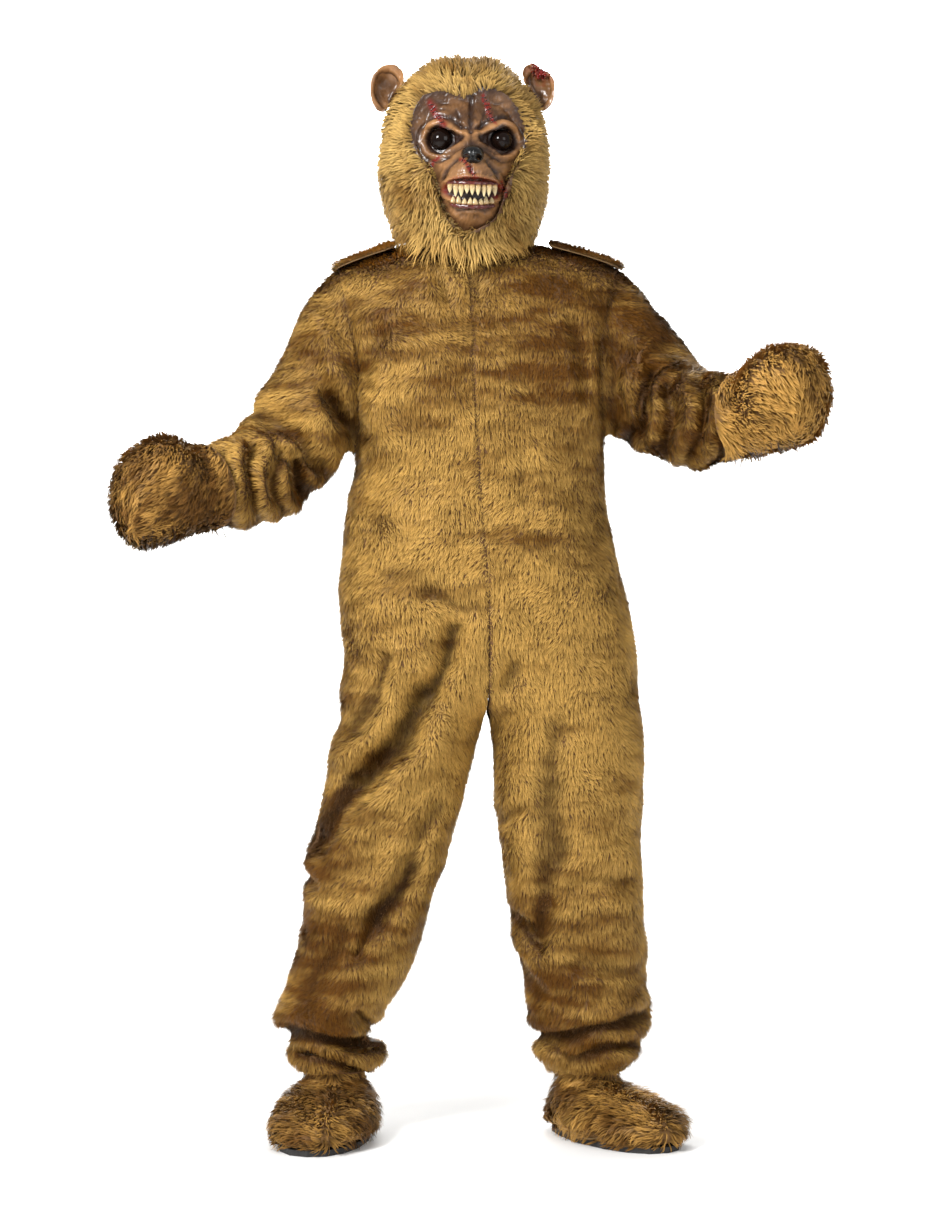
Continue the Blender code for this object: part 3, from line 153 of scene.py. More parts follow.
# %% [markdown]
# ## From a solid wall to a thin skin
# Each sewn piece arrives as a closed wall. Its outer side is where the tips of the pile end, so the backing
# cloth lies deeper in the wall. On a tube of cloth the outer faces are those that look away from the tube's
# middle and have the wall's other side close behind them. On a small closed piece they are the largest patch
# that can be walked without crossing a sharp edge. Each point then steps towards its partner on the inside,
# so that two panels that meet at a seam still meet. Keeping to the solid is quicker and truer than
# modelling the garment a second time.

# %% Find a wall's outer faces
# WELD joins points that lie at the same place, and an edge sharper than SHARP bounds a patch.
WELD = 1e-5
SHARP = math.radians(52)
Skin = namedtuple("Skin", "points normals faces")


def patches(bm):
    """The faces in groups that meet at no sharp edge, largest area first."""
    seen, groups = set(), []
    for first in bm.faces:
        if first.index in seen:
            continue
        seen.add(first.index)
        todo, group = [first], []
        while todo:
            face = todo.pop()
            group.append(face)
            for edge in face.edges:
                if len(edge.link_faces) == 2 and edge.calc_face_angle() < SHARP:
                    for other in edge.link_faces:
                        if other.index not in seen:
                            seen.add(other.index)
                            todo.append(other)
        groups.append(group)
    return sorted(groups, key=lambda g: -sum(f.calc_area() for f in g))


# A vote past CLEARLY settles a point's side. A partner lies within REACH walls, at more than BEHIND of that
# distance straight in, and a face counts where the wall's other side is BACKED walls behind it.
CLEARLY = 0.2
REACH = 1.7
BEHIND = 0.45
BACKED = (0.08, 2.6)


def nearest_other(tree, verts, vert, own, reach):
    """The nearest point behind vert, through the wall, that isn't in own."""
    for place, index, far in tree.find_range(vert.co, reach):
        if verts[index] not in own and (place - vert.co).dot(vert.normal) < -BEHIND * far:
            return verts[index]
    return None


def outer_points(bm, wall, middle):
    """The points on the outside of a cloth wall, judged by the middle of its tube and by their partners."""
    tree = BVHTree.FromBMesh(bm)
    votes = dict.fromkeys(bm.verts, 0.0)
    for face in bm.faces:
        centre = face.calc_center_median()
        start = centre - face.normal * wall * 0.05
        _, _, _, far = tree.ray_cast(start, -face.normal, wall * BACKED[1])
        if far and far > wall * BACKED[0]:
            away = (centre - middle(centre)).normalized().dot(face.normal)
            for vert in face.verts:
                votes[vert] += away
    outside = {vert for vert, vote in votes.items() if vote > CLEARLY}
    inside = {vert for vert, vote in votes.items() if vote < -CLEARLY}
    bm.verts.ensure_lookup_table()
    verts = bm.verts
    near = KDTree(len(verts))
    for vert in verts:
        near.insert(vert.co, vert.index)
    near.balance()
    for own, other in ((outside, inside), (inside, outside)):
        found = {nearest_other(near, verts, vert, own, wall * REACH) for vert in own}
        other |= {vert for vert in found - {None} if vert not in own}
    return outside - inside


HOLE_STEPS = 6
HOLE_SIDES = 10


def kept_sides(face, outside):
    """How many of a face's edges lead on to faces that are kept, round no very sharp corner."""
    return sum(
        any(other.index in outside for other in edge.link_faces if other is not face)
        for edge in face.edges
        if len(edge.link_faces) == 2 and edge.calc_face_angle() < 1.3 * SHARP
    )


def outer_side(bm, wall, middle):
    """The faces on the outside of a wall: of a tube with a middle, or else the wall's largest patch."""
    if middle is None:
        return {face.index for face in patches(bm)[0]}
    points = outer_points(bm, wall, middle)
    outside = {face.index for face in bm.faces if all(vert in points for vert in face.verts)}
    for _ in range(HOLE_STEPS):
        outside |= {f.index for f in bm.faces if f.index not in outside and kept_sides(f, outside) >= 2}
    return outside


# %% Find the middle of each tube of cloth
# SLAB is how thick a slice of a tube is, CROTCH how high the legs part, CHEST a place below the shoulders.
SLAB = 0.03
CROTCH = 0.70
CHEST = -0.20


def slab_middle(nodes, axis, keep=lambda v: True):
    """A function that gives the middle of these nodes' tube in the slab of a place along an axis."""
    slabs = {}
    for node in nodes:
        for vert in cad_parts[node].data.vertices:
            if keep(vert.co):
                slabs.setdefault(round(vert.co[axis] / SLAB), []).append(vert.co)
    means = {
        slab: (Vector(np.min(places, axis=0)) + Vector(np.max(places, axis=0))) / 2
        for slab, places in slabs.items()
    }

    def middle(place):
        nearest = min(means, key=lambda slab: abs(slab - place[axis] / SLAB))
        found = means[nearest].copy()
        found[axis] = place[axis]
        return found

    return middle


PANELS = [f"{face}_{side}" for face in ("front", "back") for side in SIDES]
trunk_middle = slab_middle(PANELS, 2)
leg_middle = {
    side: slab_middle([f"front_{side}", f"back_{side}"], 2, lambda v: v.z < FLOOR + CROTCH) for side in SIDES
}


def body_middle(place):
    """The middle of a leg, of the trunk, or for the shoulders a point in the chest below them."""
    if place.z < FLOOR + CROTCH:
        return leg_middle["left" if place.x > leg_split(place.z) else "right"](place)
    found = trunk_middle(place)
    found.z = min(place.z, CHEST)
    return found


ARM_LINES = {
    "right": (
        (-0.20, 0.010, 1.290), (-0.257, -0.002, 1.230),
        (-0.312, -0.042, 1.127), (-0.446, -0.165, 1.074),
    ),
    "left": (
        (0.22, 0.010, 1.304), (0.300, -0.010, 1.250),
        (0.362, -0.072, 1.190), (0.454, -0.176, 1.194),
    ),
}


def arm_middle(side):
    """A function that gives the nearest place on the line through a sleeve's middle."""
    line = [Vector((x, y, h + FLOOR)) for x, y, h in ARM_LINES[side]]

    def middle(place):
        found = [geometry.intersect_point_line(place, a, b) for a, b in zip(line, line[1:])]
        found = [a.lerp(b, min(max(share, 0), 1)) for (_, share), a, b in zip(found, line, line[1:])]
        return min(found, key=lambda spot: (spot - place).length)

    return middle


def leg_split(z):
    """Where the gap between the legs lies at a height."""
    return sum(leg_middle[side](Vector((0, 0, z))).x for side in SIDES) / 2


print("the trunk's middle at the waist lies at", [round(x, 3) for x in trunk_middle(Vector((0, 0, -0.5)))])


# %% Turn a wall into a skin
def numbers(mesh):
    """A mesh's points, vertex normals and four-cornered faces as arrays."""
    points = np.empty(len(mesh.vertices) * 3)
    mesh.vertices.foreach_get("co", points)
    ways = np.empty(len(mesh.vertices) * 3)
    mesh.vertex_normals.foreach_get("vector", ways)
    faces = np.empty(len(mesh.loops), dtype=int)
    mesh.loops.foreach_get("vertex_index", faces)
    return Skin(points.reshape(-1, 3), ways.reshape(-1, 3), faces.reshape(-1, 4))


def in_fours(bm):
    """Joins triangles to faces with four corners, which subdivide evenly."""
    flat_enough = math.radians(60)
    bmesh.ops.join_triangles(
        bm, faces=bm.faces, angle_face_threshold=flat_enough, angle_shape_threshold=flat_enough
    )


def subdivided(mesh, levels):
    """A coarse mesh after smooth subdivision."""
    coarse = bpy.data.objects.new("coarse", mesh)
    bpy.context.scene.collection.objects.link(coarse)
    smoothing = coarse.modifiers.new("smooth", "SUBSURF")
    smoothing.levels = levels
    smoothing.boundary_smooth = "PRESERVE_CORNERS"
    depsgraph = bpy.context.evaluated_depsgraph_get()
    fine = bpy.data.meshes.new_from_object(coarse.evaluated_get(depsgraph))
    skin = numbers(fine)
    bpy.data.objects.remove(coarse)
    bpy.data.meshes.remove(fine)
    return skin


def inward_step(vert, outside_verts, wall):
    """From an outer point to its partner on the inside: along the rim at an edge, else straight in."""
    others = [edge.other_vert(vert) for edge in vert.link_edges]
    across = [other.co - vert.co for other in others if other not in outside_verts]
    across = [step for step in across if step.length < 1.5 * wall]
    if across:
        return min(across, key=lambda step: step.length)
    return -vert.normal * wall


def skin_of(node, wall, depth, levels=2, middle=None):
    """The outside of a node's wall as a smooth skin, moved in by depth towards the wall's inside."""
    bm = bmesh.new()
    bm.from_mesh(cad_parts[node].data)
    bmesh.ops.remove_doubles(bm, verts=bm.verts, dist=WELD)
    bm.normal_update()
    keep = outer_side(bm, wall, middle)
    bm.faces.ensure_lookup_table()
    outside_verts = {v for i in keep for v in bm.faces[i].verts}
    steps = {v: inward_step(v, outside_verts, wall) for v in outside_verts}
    bmesh.ops.delete(bm, geom=[f for f in bm.faces if f.index not in keep], context="FACES")
    if middle:
        bmesh.ops.holes_fill(bm, edges=[edge for edge in bm.edges if edge.is_boundary], sides=HOLE_SIDES)
    in_fours(bm)
    outer = bpy.data.meshes.new("outside")
    bm.to_mesh(outer)
    for vert in bm.verts:
        vert.co += steps[vert] * (depth / wall)
    moved = bpy.data.meshes.new("moved in")
    bm.to_mesh(moved)
    bm.free()
    skin = subdivided(moved, levels)
    return Skin(skin.points, subdivided(outer, levels).normals, skin.faces)


def unit(v):
    """Each row of v with length 1."""
    return v / np.maximum(np.linalg.norm(v, axis=1, keepdims=True), 1e-12)


def with_normals(points, faces):
    """A skin with its normals worked out afresh from its faces."""
    across = np.cross(points[faces[:, 2]] - points[faces[:, 0]], points[faces[:, 3]] - points[faces[:, 1]])
    normals = np.zeros_like(points)
    for corner in range(4):
        np.add.at(normals, faces[:, corner], across)
    return Skin(points, unit(normals), faces)


def rim_edges(skin):
    """The edges that only one face uses, as pairs of points."""
    edges = np.sort(skin.faces[:, [0, 1, 1, 2, 2, 3, 3, 0]].reshape(-1, 2), axis=1)
    edges, uses = np.unique(edges, axis=0, return_counts=True)
    return edges[uses == 1]


def tree_of(points):
    """A tree that finds the nearest of these points."""
    tree = KDTree(len(points))
    for number, point in enumerate(points):
        tree.insert(point, number)
    tree.balance()
    return tree


# %% Sew skins to each other
# Edges closer than MEETING belong to one seam.
MEETING = 0.008


def shared_normals(skins):
    """The same skins with one common normal wherever the edges of two of them meet."""
    normals = np.concatenate([skin.normals for skin in skins])
    tree = tree_of(np.concatenate([skin.points for skin in skins]))
    made = []
    for skin in skins:
        own = skin.normals.copy()
        for index in np.unique(rim_edges(skin)):
            near = [number for _, number, _ in tree.find_range(skin.points[index], MEETING)]
            own[index] = normals[near].mean(axis=0)
        made.append(Skin(skin.points, unit(own), skin.faces))
    return made


def along_rim(skin):
    """Places close together along the open edges of a skin."""
    start, end = (skin.points[rim_edges(skin)[:, i]] for i in (0, 1))
    return np.concatenate([start + (end - start) * share for share in (0, 0.25, 0.5, 0.75)])


def sewn_to(skin, others, reach, give):
    """A skin whose edge is drawn to the nearest edges of others, with the cloth beside it giving a little."""
    tree = tree_of(np.concatenate([along_rim(other) for other in others]))
    rim = np.unique(rim_edges(skin))
    found = [tree.find(skin.points[index]) for index in rim]
    close = np.array([far < reach for _, _, far in found])
    shift = np.array([place for place, _, _ in found])[close] - skin.points[rim[close]]
    nearest = tree_of(skin.points[rim[close]])
    points = skin.points.copy()
    for index, point in enumerate(skin.points):
        _, number, away = nearest.find(point)
        if away < give:
            points[index] += shift[number] * (1 - away / give) ** 2
    return Skin(points, skin.normals, skin.faces)


def area_of(skin):
    """The skin's area in square metres."""
    a, b, c, d = (skin.points[skin.faces[:, i]] for i in range(4))
    return float(np.linalg.norm(np.cross(c - a, d - b), axis=1).sum() / 2)


# %% [markdown]
# ## Creases and the uneven surface
# Plush is thick, so it folds in soft rolls. The main creases are given as lines, seen from the
# front or the back, each with its own width and depth. A sum of a few sine waves in random directions
# makes the small unevenness between them, and the same waves later steer the nap and its colour.

# %% Make uneven waves
def waves(points, size, seed, count=12):
    """Smooth uneven values, mostly from -1 to 1. size is the length of a bump along x, y and z in metres."""
    draw = np.random.default_rng(seed)
    ways = draw.normal(size=(count, 3))
    ways /= np.linalg.norm(ways, axis=1, keepdims=True)
    ways *= draw.uniform(0.6, 1.5, (count, 1)) * math.pi / np.broadcast_to(size, 3)
    turns = draw.uniform(0, 2 * math.pi, count)
    return np.sin(points @ ways.T + turns).sum(axis=1) / math.sqrt(count)


def ease(x, low, high):
    """0 below low, 1 above high and smooth between them; low may be the larger."""
    t = np.clip((x - low) / (high - low), 0, 1)
    return t * t * (3 - 2 * t)


# %% Lay the creases
# WANDER is how far a crease strays from its straight line, BESIDE how many widths away its soft ridge rises,
# and SHOULDER how high that ridge is as a share of the depth.
WANDER = 0.005
BESIDE = 2.0
SHOULDER = 0.35
Crease = namedtuple("Crease", "x0 h0 x1 h1 width depth")


def line_distance(x, h, line):
    """How far each (x, h) is from a line's nearest point, and how far along the line that is, 0 to 1."""
    dx, dh = line.x1 - line.x0, line.h1 - line.h0
    along = np.clip(((x - line.x0) * dx + (h - line.h0) * dh) / (dx * dx + dh * dh), 0, 1)
    return np.hypot(x - line.x0 - along * dx, h - line.h0 - along * dh), along


def crease_depth(points, normals, creases, facing):
    """How deep each place lies in the creases. facing is -1 for those seen from the front."""
    x = points[:, 0] + WANDER * waves(points, 0.06, 3)
    h = points[:, 2] - FLOOR + WANDER * waves(points, 0.06, 4)
    valley, ridge, shoulder = np.zeros((3, len(points)))
    for line in creases:
        far, _ = line_distance(x, h, line)
        trough = line.depth * np.exp(-((far / line.width) ** 2))
        valley, ridge = np.maximum(valley, trough), np.minimum(ridge, trough)
        beside = np.exp(-(((far - BESIDE * line.width) / line.width) ** 2))
        shoulder = np.maximum(shoulder, line.depth * beside)
    seen = ease(normals[:, 1] * facing, -0.25, 0.25)
    return seen * (valley + ridge - SHOULDER * np.maximum(shoulder - valley, 0))


FRONT_CREASES = (
    Crease(-0.024, 0.839, -0.071, 0.748, 0.018, 0.023),
    Crease(-0.071, 0.748, -0.114, 0.663, 0.022, 0.031),
    Crease(-0.114, 0.663, -0.187, 0.592, 0.024, 0.033),
    Crease(-0.187, 0.592, -0.247, 0.501, 0.022, 0.025),
    Crease(-0.138, 0.801, -0.151, 0.737, 0.014, 0.014),
    Crease(-0.151, 0.737, -0.187, 0.681, 0.020, 0.017),
    Crease(-0.054, 0.561, -0.096, 0.459, 0.014, 0.011),
    Crease(-0.096, 0.459, -0.151, 0.370, 0.018, 0.022),
    Crease(-0.151, 0.370, -0.187, 0.315, 0.014, 0.016),
    Crease(-0.205, 0.352, -0.265, 0.232, 0.017, 0.011),
    Crease(-0.300, 0.183, -0.162, 0.156, 0.011, 0.028),
    Crease(-0.289, 0.148, -0.193, 0.123, 0.009, 0.020),
    Crease(-0.180, 0.215, -0.150, 0.150, 0.009, 0.016),
    Crease(-0.300, 0.450, -0.262, 0.425, 0.013, 0.016),
    Crease(-0.296, 0.545, -0.262, 0.520, 0.012, 0.016),
    Crease(0.071, 0.790, 0.060, 0.761, 0.015, 0.014),
    Crease(0.144, 0.681, 0.127, 0.592, 0.025, 0.012),
    Crease(0.127, 0.592, 0.131, 0.472, 0.028, 0.017),
    Crease(0.131, 0.472, 0.120, 0.352, 0.021, 0.017),
    Crease(0.067, 0.532, 0.096, 0.556, 0.014, 0.010),
    Crease(0.071, 0.370, 0.114, 0.334, 0.013, 0.020),
    Crease(0.078, 0.292, 0.120, 0.243, 0.013, 0.012),
    Crease(0.120, 0.172, 0.187, 0.177, 0.013, 0.022),
    Crease(0.187, 0.177, 0.276, 0.201, 0.014, 0.020),
    Crease(0.120, 0.159, 0.169, 0.141, 0.010, 0.015),
    Crease(0.169, 0.141, 0.271, 0.159, 0.010, 0.017),
    Crease(0.165, 0.428, 0.245, 0.445, 0.018, 0.009),
    Crease(0.180, 0.300, 0.262, 0.292, 0.018, 0.010),
    Crease(-0.068, 0.904, -0.013, 0.882, 0.016, 0.012),
    Crease(-0.013, 0.882, 0.030, 0.886, 0.015, 0.010),
    Crease(-0.131, 0.946, -0.039, 0.928, 0.018, 0.005),
    Crease(-0.047, 1.416, -0.039, 1.387, 0.013, 0.010),
    Crease(0.016, 1.416, 0.008, 1.382, 0.011, 0.010),
    Crease(0.097, 1.234, 0.165, 1.195, 0.016, 0.005),
    Crease(0.075, 1.120, 0.090, 1.060, 0.015, 0.005),
    Crease(-0.178, 1.264, -0.185, 1.110, 0.018, 0.010),
    Crease(-0.150, 1.330, -0.178, 1.264, 0.016, 0.007),
    Crease(0.170, 1.350, 0.190, 1.240, 0.015, 0.007),
)
BACK_CREASES = (
    Crease(-0.030, 0.800, -0.110, 0.700, 0.025, 0.020),
    Crease(0.030, 0.805, 0.120, 0.720, 0.025, 0.020),
    Crease(-0.205, 0.700, -0.120, 0.640, 0.023, 0.017),
    Crease(0.190, 0.690, 0.120, 0.610, 0.023, 0.015),
    Crease(-0.250, 0.440, -0.160, 0.410, 0.017, 0.019),
    Crease(-0.255, 0.350, -0.180, 0.380, 0.016, 0.015),
    Crease(0.110, 0.420, 0.200, 0.450, 0.017, 0.019),
    Crease(0.105, 0.350, 0.215, 0.330, 0.017, 0.015),
    Crease(-0.290, 0.190, -0.170, 0.165, 0.014, 0.022),
    Crease(-0.280, 0.140, -0.190, 0.150, 0.011, 0.015),
    Crease(0.120, 0.165, 0.265, 0.190, 0.014, 0.022),
    Crease(0.130, 0.140, 0.240, 0.135, 0.011, 0.015),
    Crease(-0.180, 1.300, -0.090, 1.200, 0.021, 0.010),
    Crease(0.190, 1.310, 0.100, 1.190, 0.021, 0.010),
    Crease(-0.150, 1.000, 0.010, 0.960, 0.023, 0.010),
    Crease(0.000, 0.930, 0.160, 0.970, 0.023, 0.010),
    Crease(-0.190, 0.880, -0.080, 0.850, 0.021, 0.010),
)
SLEEVE_CREASES = {
    "right": (
        Crease(-0.246, 1.362, -0.203, 1.241, 0.014, -0.010),
        Crease(-0.219, 1.224, -0.182, 1.167, 0.018, 0.020),
        Crease(-0.337, 1.191, -0.276, 1.167, 0.017, 0.017),
        Crease(-0.276, 1.167, -0.250, 1.110, 0.016, 0.015),
        Crease(-0.282, 1.120, -0.268, 1.070, 0.014, 0.024),
        Crease(-0.310, 1.140, -0.308, 1.040, 0.010, 0.015),
        Crease(-0.346, 1.150, -0.345, 1.020, 0.010, 0.015),
        Crease(-0.394, 1.130, -0.392, 1.010, 0.010, 0.014),
        Crease(-0.240, 1.120, -0.236, 1.050, 0.011, 0.014),
    ),
    "left": (
        Crease(0.295, 1.260, 0.264, 1.156, 0.015, 0.020),
        Crease(0.324, 1.234, 0.311, 1.130, 0.014, 0.019),
        Crease(0.230, 1.317, 0.262, 1.290, 0.016, 0.010),
        Crease(0.372, 1.240, 0.352, 1.120, 0.011, 0.015),
        Crease(0.412, 1.230, 0.398, 1.110, 0.010, 0.014),
        Crease(0.232, 1.280, 0.236, 1.180, 0.013, 0.010),
        Crease(0.245, 1.230, 0.255, 1.160, 0.013, 0.012),
    ),
}
LUMPS = 0.0016


def suit_fold(points, normals):
    """How far the suit's surface lies in from its smooth form, by all of its creases and its small lumps."""
    front = FRONT_CREASES + SLEEVE_CREASES["right"] + SLEEVE_CREASES["left"]
    seen_behind = crease_depth(points, normals, BACK_CREASES, 1)
    return crease_depth(points, normals, front, -1) + seen_behind + LUMPS * waves(points, 0.07, 109)


print(len(FRONT_CREASES) + len(BACK_CREASES), "creases on the body")

# %% [markdown]
# ## The backing cloth
# Under plush there is a thin knitted backing. It shows only at hems and where the pile parts, so it gets a
# quiet woven bump in the colour of the pile's roots. Solidify gives it a real thickness of 1.5 mm.

# %% The backing's material
# KNIT is the width of a rib of the knitted backing, BACKING its thickness.
KNIT = 0.0016
BACKING = 0.0015


def mottled(made, dark, light, scale):
    """A material whose colour wanders between two tones in soft spots."""
    nodes, links = made.node_tree.nodes, made.node_tree.links
    place = nodes.new("ShaderNodeTexCoord")
    spots = nodes.new("ShaderNodeTexNoise")
    spots.inputs["Scale"].default_value = scale
    links.new(place.outputs["Object"], spots.inputs["Vector"])
    ramp = nodes.new("ShaderNodeValToRGB")
    ramp.color_ramp.elements[0].color = (*dark, 1.0)
    ramp.color_ramp.elements[1].color = (*light, 1.0)
    links.new(spots.outputs["Fac"], ramp.inputs["Fac"])
    links.new(ramp.outputs["Color"], nodes["Principled BSDF"].inputs["Base Color"])
    return made


def woven_material(name, colour):
    """A matt knitted cloth: two crossed sets of fine waves as bump, and a little uneven colour."""
    made = plain_material(name, colour, 0.92)
    nodes, links = made.node_tree.nodes, made.node_tree.links
    shader = nodes["Principled BSDF"]
    place = nodes.new("ShaderNodeTexCoord")
    ribs = [nodes.new("ShaderNodeTexWave") for _ in range(2)]
    for rib, way in zip(ribs, ("X", "Z")):
        rib.bands_direction = way
        rib.inputs["Scale"].default_value = 0.3 / KNIT
        rib.inputs["Distortion"].default_value = 0.6
        links.new(place.outputs["Object"], rib.inputs["Vector"])
    both = nodes.new("ShaderNodeMath")
    both.operation = "MULTIPLY"
    links.new(ribs[0].outputs["Fac"], both.inputs[0])
    links.new(ribs[1].outputs["Fac"], both.inputs[1])
    bump = nodes.new("ShaderNodeBump")
    bump.inputs["Strength"].default_value = 0.4
    bump.inputs["Distance"].default_value = 0.0006
    links.new(both.outputs["Value"], bump.inputs["Height"])
    links.new(bump.outputs["Normal"], shader.inputs["Normal"])
    return mottled(made, [c * 0.6 for c in colour], [min(c * 1.5, 1.0) for c in colour], 30.0)


suit_backing = woven_material("suit backing", (0.105, 0.047, 0.012))
print("the backing is", 1000 * BACKING, "mm thick")


def dress(obj, slot, *nodes):
    """Fixes a piece to the costume, in place of these nodes."""
    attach(obj, "root")
    if nodes:
        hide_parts(*nodes)
    return obj


def thickened(obj, thickness):
    """The object with a real thickness, grown inwards."""
    solid = obj.modifiers.new("thickness", "SOLIDIFY")
    solid.thickness = thickness
    solid.offset = -1.0
    return obj


def cloth_piece(name, skin, look, node, slot):
    """A thin shell on a skin that stands for a node of the frame."""
    piece = thickened(new_object(name, skin.points, skin.faces, look), BACKING)
    return dress(piece, slot, node)


# %% [markdown]
# ## Pile
# The pile is real geometry: many thousands of thin blades, each one triangle, or three where the pile is long
# enough to bend. A blade starts on the backing, lies over in the direction of the nap and ends near the
# outer side of the frame's wall. Neighbouring blades lean together into tufts, as brushed plush does.
# Their shading normals follow the cloth with a little scatter, so light rolls over the folds as on real
# plush and doesn't sparkle on every blade. All blades of a piece are built at once with numpy, because a
# loop over each blade would take minutes.

# %% Grow blades on a skin
# Pile is trimmed to the share TRIMMED_TO at a seam and has its full length TRIM_REACH away from it.
Pile = namedtuple("Pile", "per_m2 length width lift tuft gather bends")
TRIMMED_TO = 0.30
TRIM_REACH = 0.008


def seam_trim(skin):
    """A trim for the pile: short beside the edges of a panel and full length away from them."""
    tree = tree_of(along_rim(skin))

    def trim(place):
        far = np.array([tree.find(point)[2] for point in place])
        return TRIMMED_TO + (1 - TRIMMED_TO) * ease(far, 0.001, TRIM_REACH)

    return trim


def spots_on(skin, count, draw):
    """Random places spread evenly over a skin, with their normals."""
    corners = np.concatenate([skin.faces[:, [0, 1, 2]], skin.faces[:, [0, 2, 3]]])
    a, b, c = (skin.points[corners[:, i]] for i in range(3))
    share = np.cumsum(np.linalg.norm(np.cross(b - a, c - a), axis=1))
    chosen = np.searchsorted(share, draw.uniform(0, share[-1], count))
    u, v = draw.uniform(size=(2, count, 1))
    flip = u + v > 1
    u, v = np.where(flip, 1 - u, u), np.where(flip, 1 - v, v)
    weights = (1 - u - v, u, v)
    place = sum(w * skin.points[corners[chosen, i]] for i, w in enumerate(weights))
    normal = sum(w * skin.normals[corners[chosen, i]] for i, w in enumerate(weights))
    return place, unit(normal)


def tuft_of(place, size):
    """For each place, the middle of the tuft it belongs to and three numbers from 0 to 1 of that tuft."""
    cell = np.floor(place / size).astype(np.int64)
    key = (cell[:, 0] * 73856093) ^ (cell[:, 1] * 19349663) ^ (cell[:, 2] * 83492791)
    parts = np.stack([(key * k % 10007) / 10007 for k in (7919, 104729, 1299709)], axis=1)
    parts = np.abs(parts) % 1
    return (cell + 0.2 + 0.6 * parts) * size, parts


def grow(name, skin, pile, nap, paint, look, seed, trim):
    """Blades on a skin as one mesh. nap(place) gives the way the pile lies, paint its colours."""
    draw = np.random.default_rng(seed)
    place, normal = spots_on(skin, int(area_of(skin) * pile.per_m2), draw)
    share = np.ones(len(place)) if trim is None else trim(place)
    place, normal, share = place[share > 0], normal[share > 0], share[share > 0, None]
    count = len(place)
    lie = nap(place, normal)
    lie = unit(lie - (lie * normal).sum(axis=1, keepdims=True) * normal)
    side = np.cross(normal, lie)
    swing = 0.35 * waves(place, 0.06, seed + 5) + 0.22 * waves(place, 0.02, seed + 6)
    swing = (swing + draw.normal(0, 0.16, count))[:, None]
    lie = lie * np.cos(swing) + side * np.sin(swing)
    length = share * pile.length * draw.uniform(0.7, 1.15, (count, 1))
    length = length * (1 + 0.15 * waves(place, 0.03, seed + 7)[:, None])
    lift = np.radians(pile.lift + draw.normal(0, 7, (count, 1)) + 6 * waves(place, 0.04, seed + 8)[:, None])
    middle, lot = tuft_of(place, pile.tuft)
    middle = middle - ((middle - place) * normal).sum(axis=1, keepdims=True) * normal
    tip = place + length * (lie * np.cos(lift) + normal * np.sin(lift))
    shared = middle + length * (lie * np.cos(lift) + normal * np.sin(lift))
    tip = tip + pile.gather * (shared - tip)
    across = unit(np.cross(tip - place, normal))
    roll = draw.uniform(-0.5, 0.5, (count, 1))
    across = unit(across * np.cos(roll) + normal * np.sin(roll)) * pile.width
    across = across * draw.uniform(0.7, 1.3, (count, 1)) / 2
    tilt = unit(normal + 0.40 * (lot - 0.5) + 0.10 * lie + draw.normal(0, 0.10, (count, 3)))
    root, end = paint(place, normal, lot, draw)
    root, end = root * (0.7 + 0.3 * share), end * (0.7 + 0.3 * share)
    if pile.bends:
        knee = place + 0.5 * (tip - place) + 0.16 * length * normal
        rows = [place - across, place + across, knee - 0.75 * across, knee + 0.75 * across, tip]
        shades = [root, root, 0.5 * (root + end), 0.5 * (root + end), end]
        shape = ((0, 1, 3), (0, 3, 2), (2, 3, 4))
    else:
        rows = [place - across, place + across, tip]
        shades = [root, root, end]
        shape = ((0, 1, 2),)
    return blades(name, rows, shades, shape, tilt, look)


def blades(name, rows, shades, shape, tilt, look):
    """A mesh from one array of points for each corner of a blade, with its colours and shading normals."""
    each, count = len(rows), len(rows[0])
    points = np.stack(rows, axis=1).reshape(-1, 3)
    points[:, 2] = np.maximum(points[:, 2], FLOOR + 0.0006)
    base = np.arange(count)[:, None] * each
    corners = np.concatenate([base + np.array(three) for three in shape], axis=1).reshape(-1)
    mesh = bpy.data.meshes.new(name)
    mesh.vertices.add(len(points))
    mesh.vertices.foreach_set("co", points.reshape(-1))
    mesh.loops.add(len(corners))
    mesh.loops.foreach_set("vertex_index", corners)
    mesh.polygons.add(len(corners) // 3)
    mesh.polygons.foreach_set("loop_start", np.arange(0, len(corners), 3))
    mesh.update(calc_edges=True)
    colour = mesh.color_attributes.new("pile", "FLOAT_COLOR", "POINT")
    shade = np.stack(shades, axis=1).reshape(-1, 3)
    shade = np.concatenate([np.clip(shade, 0, 1), np.ones((len(shade), 1))], axis=1)
    colour.data.foreach_set("color", shade.reshape(-1))
    mesh.materials.append(look)
    mesh.shade_smooth()
    mesh.normals_split_custom_set_from_vertices(np.repeat(tilt, each, axis=0))
    made = bpy.data.objects.new(name, mesh)
    bpy.context.scene.collection.objects.link(made)
    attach(made, "root")
    print(f"{name}: {count} blades, {len(corners) // 3} triangles")
    return made


# %% The pile's material
def pile_material(name, sheen):
    """A soft shine along silky fibre. The colour comes from the blades themselves."""
    made = plain_material(
        name, (0.5, 0.3, 0.1), 0.5, Specular_IOR_Level=0.12, Sheen_Weight=sheen, Sheen_Roughness=0.4
    )
    nodes, links = made.node_tree.nodes, made.node_tree.links
    shader = nodes["Principled BSDF"]
    shader.inputs["Sheen Tint"].default_value = (1.0, 0.72, 0.36, 1.0)
    own = nodes.new("ShaderNodeAttribute")
    own.attribute_name = "pile"
    links.new(own.outputs["Color"], shader.inputs["Base Color"])
    return made
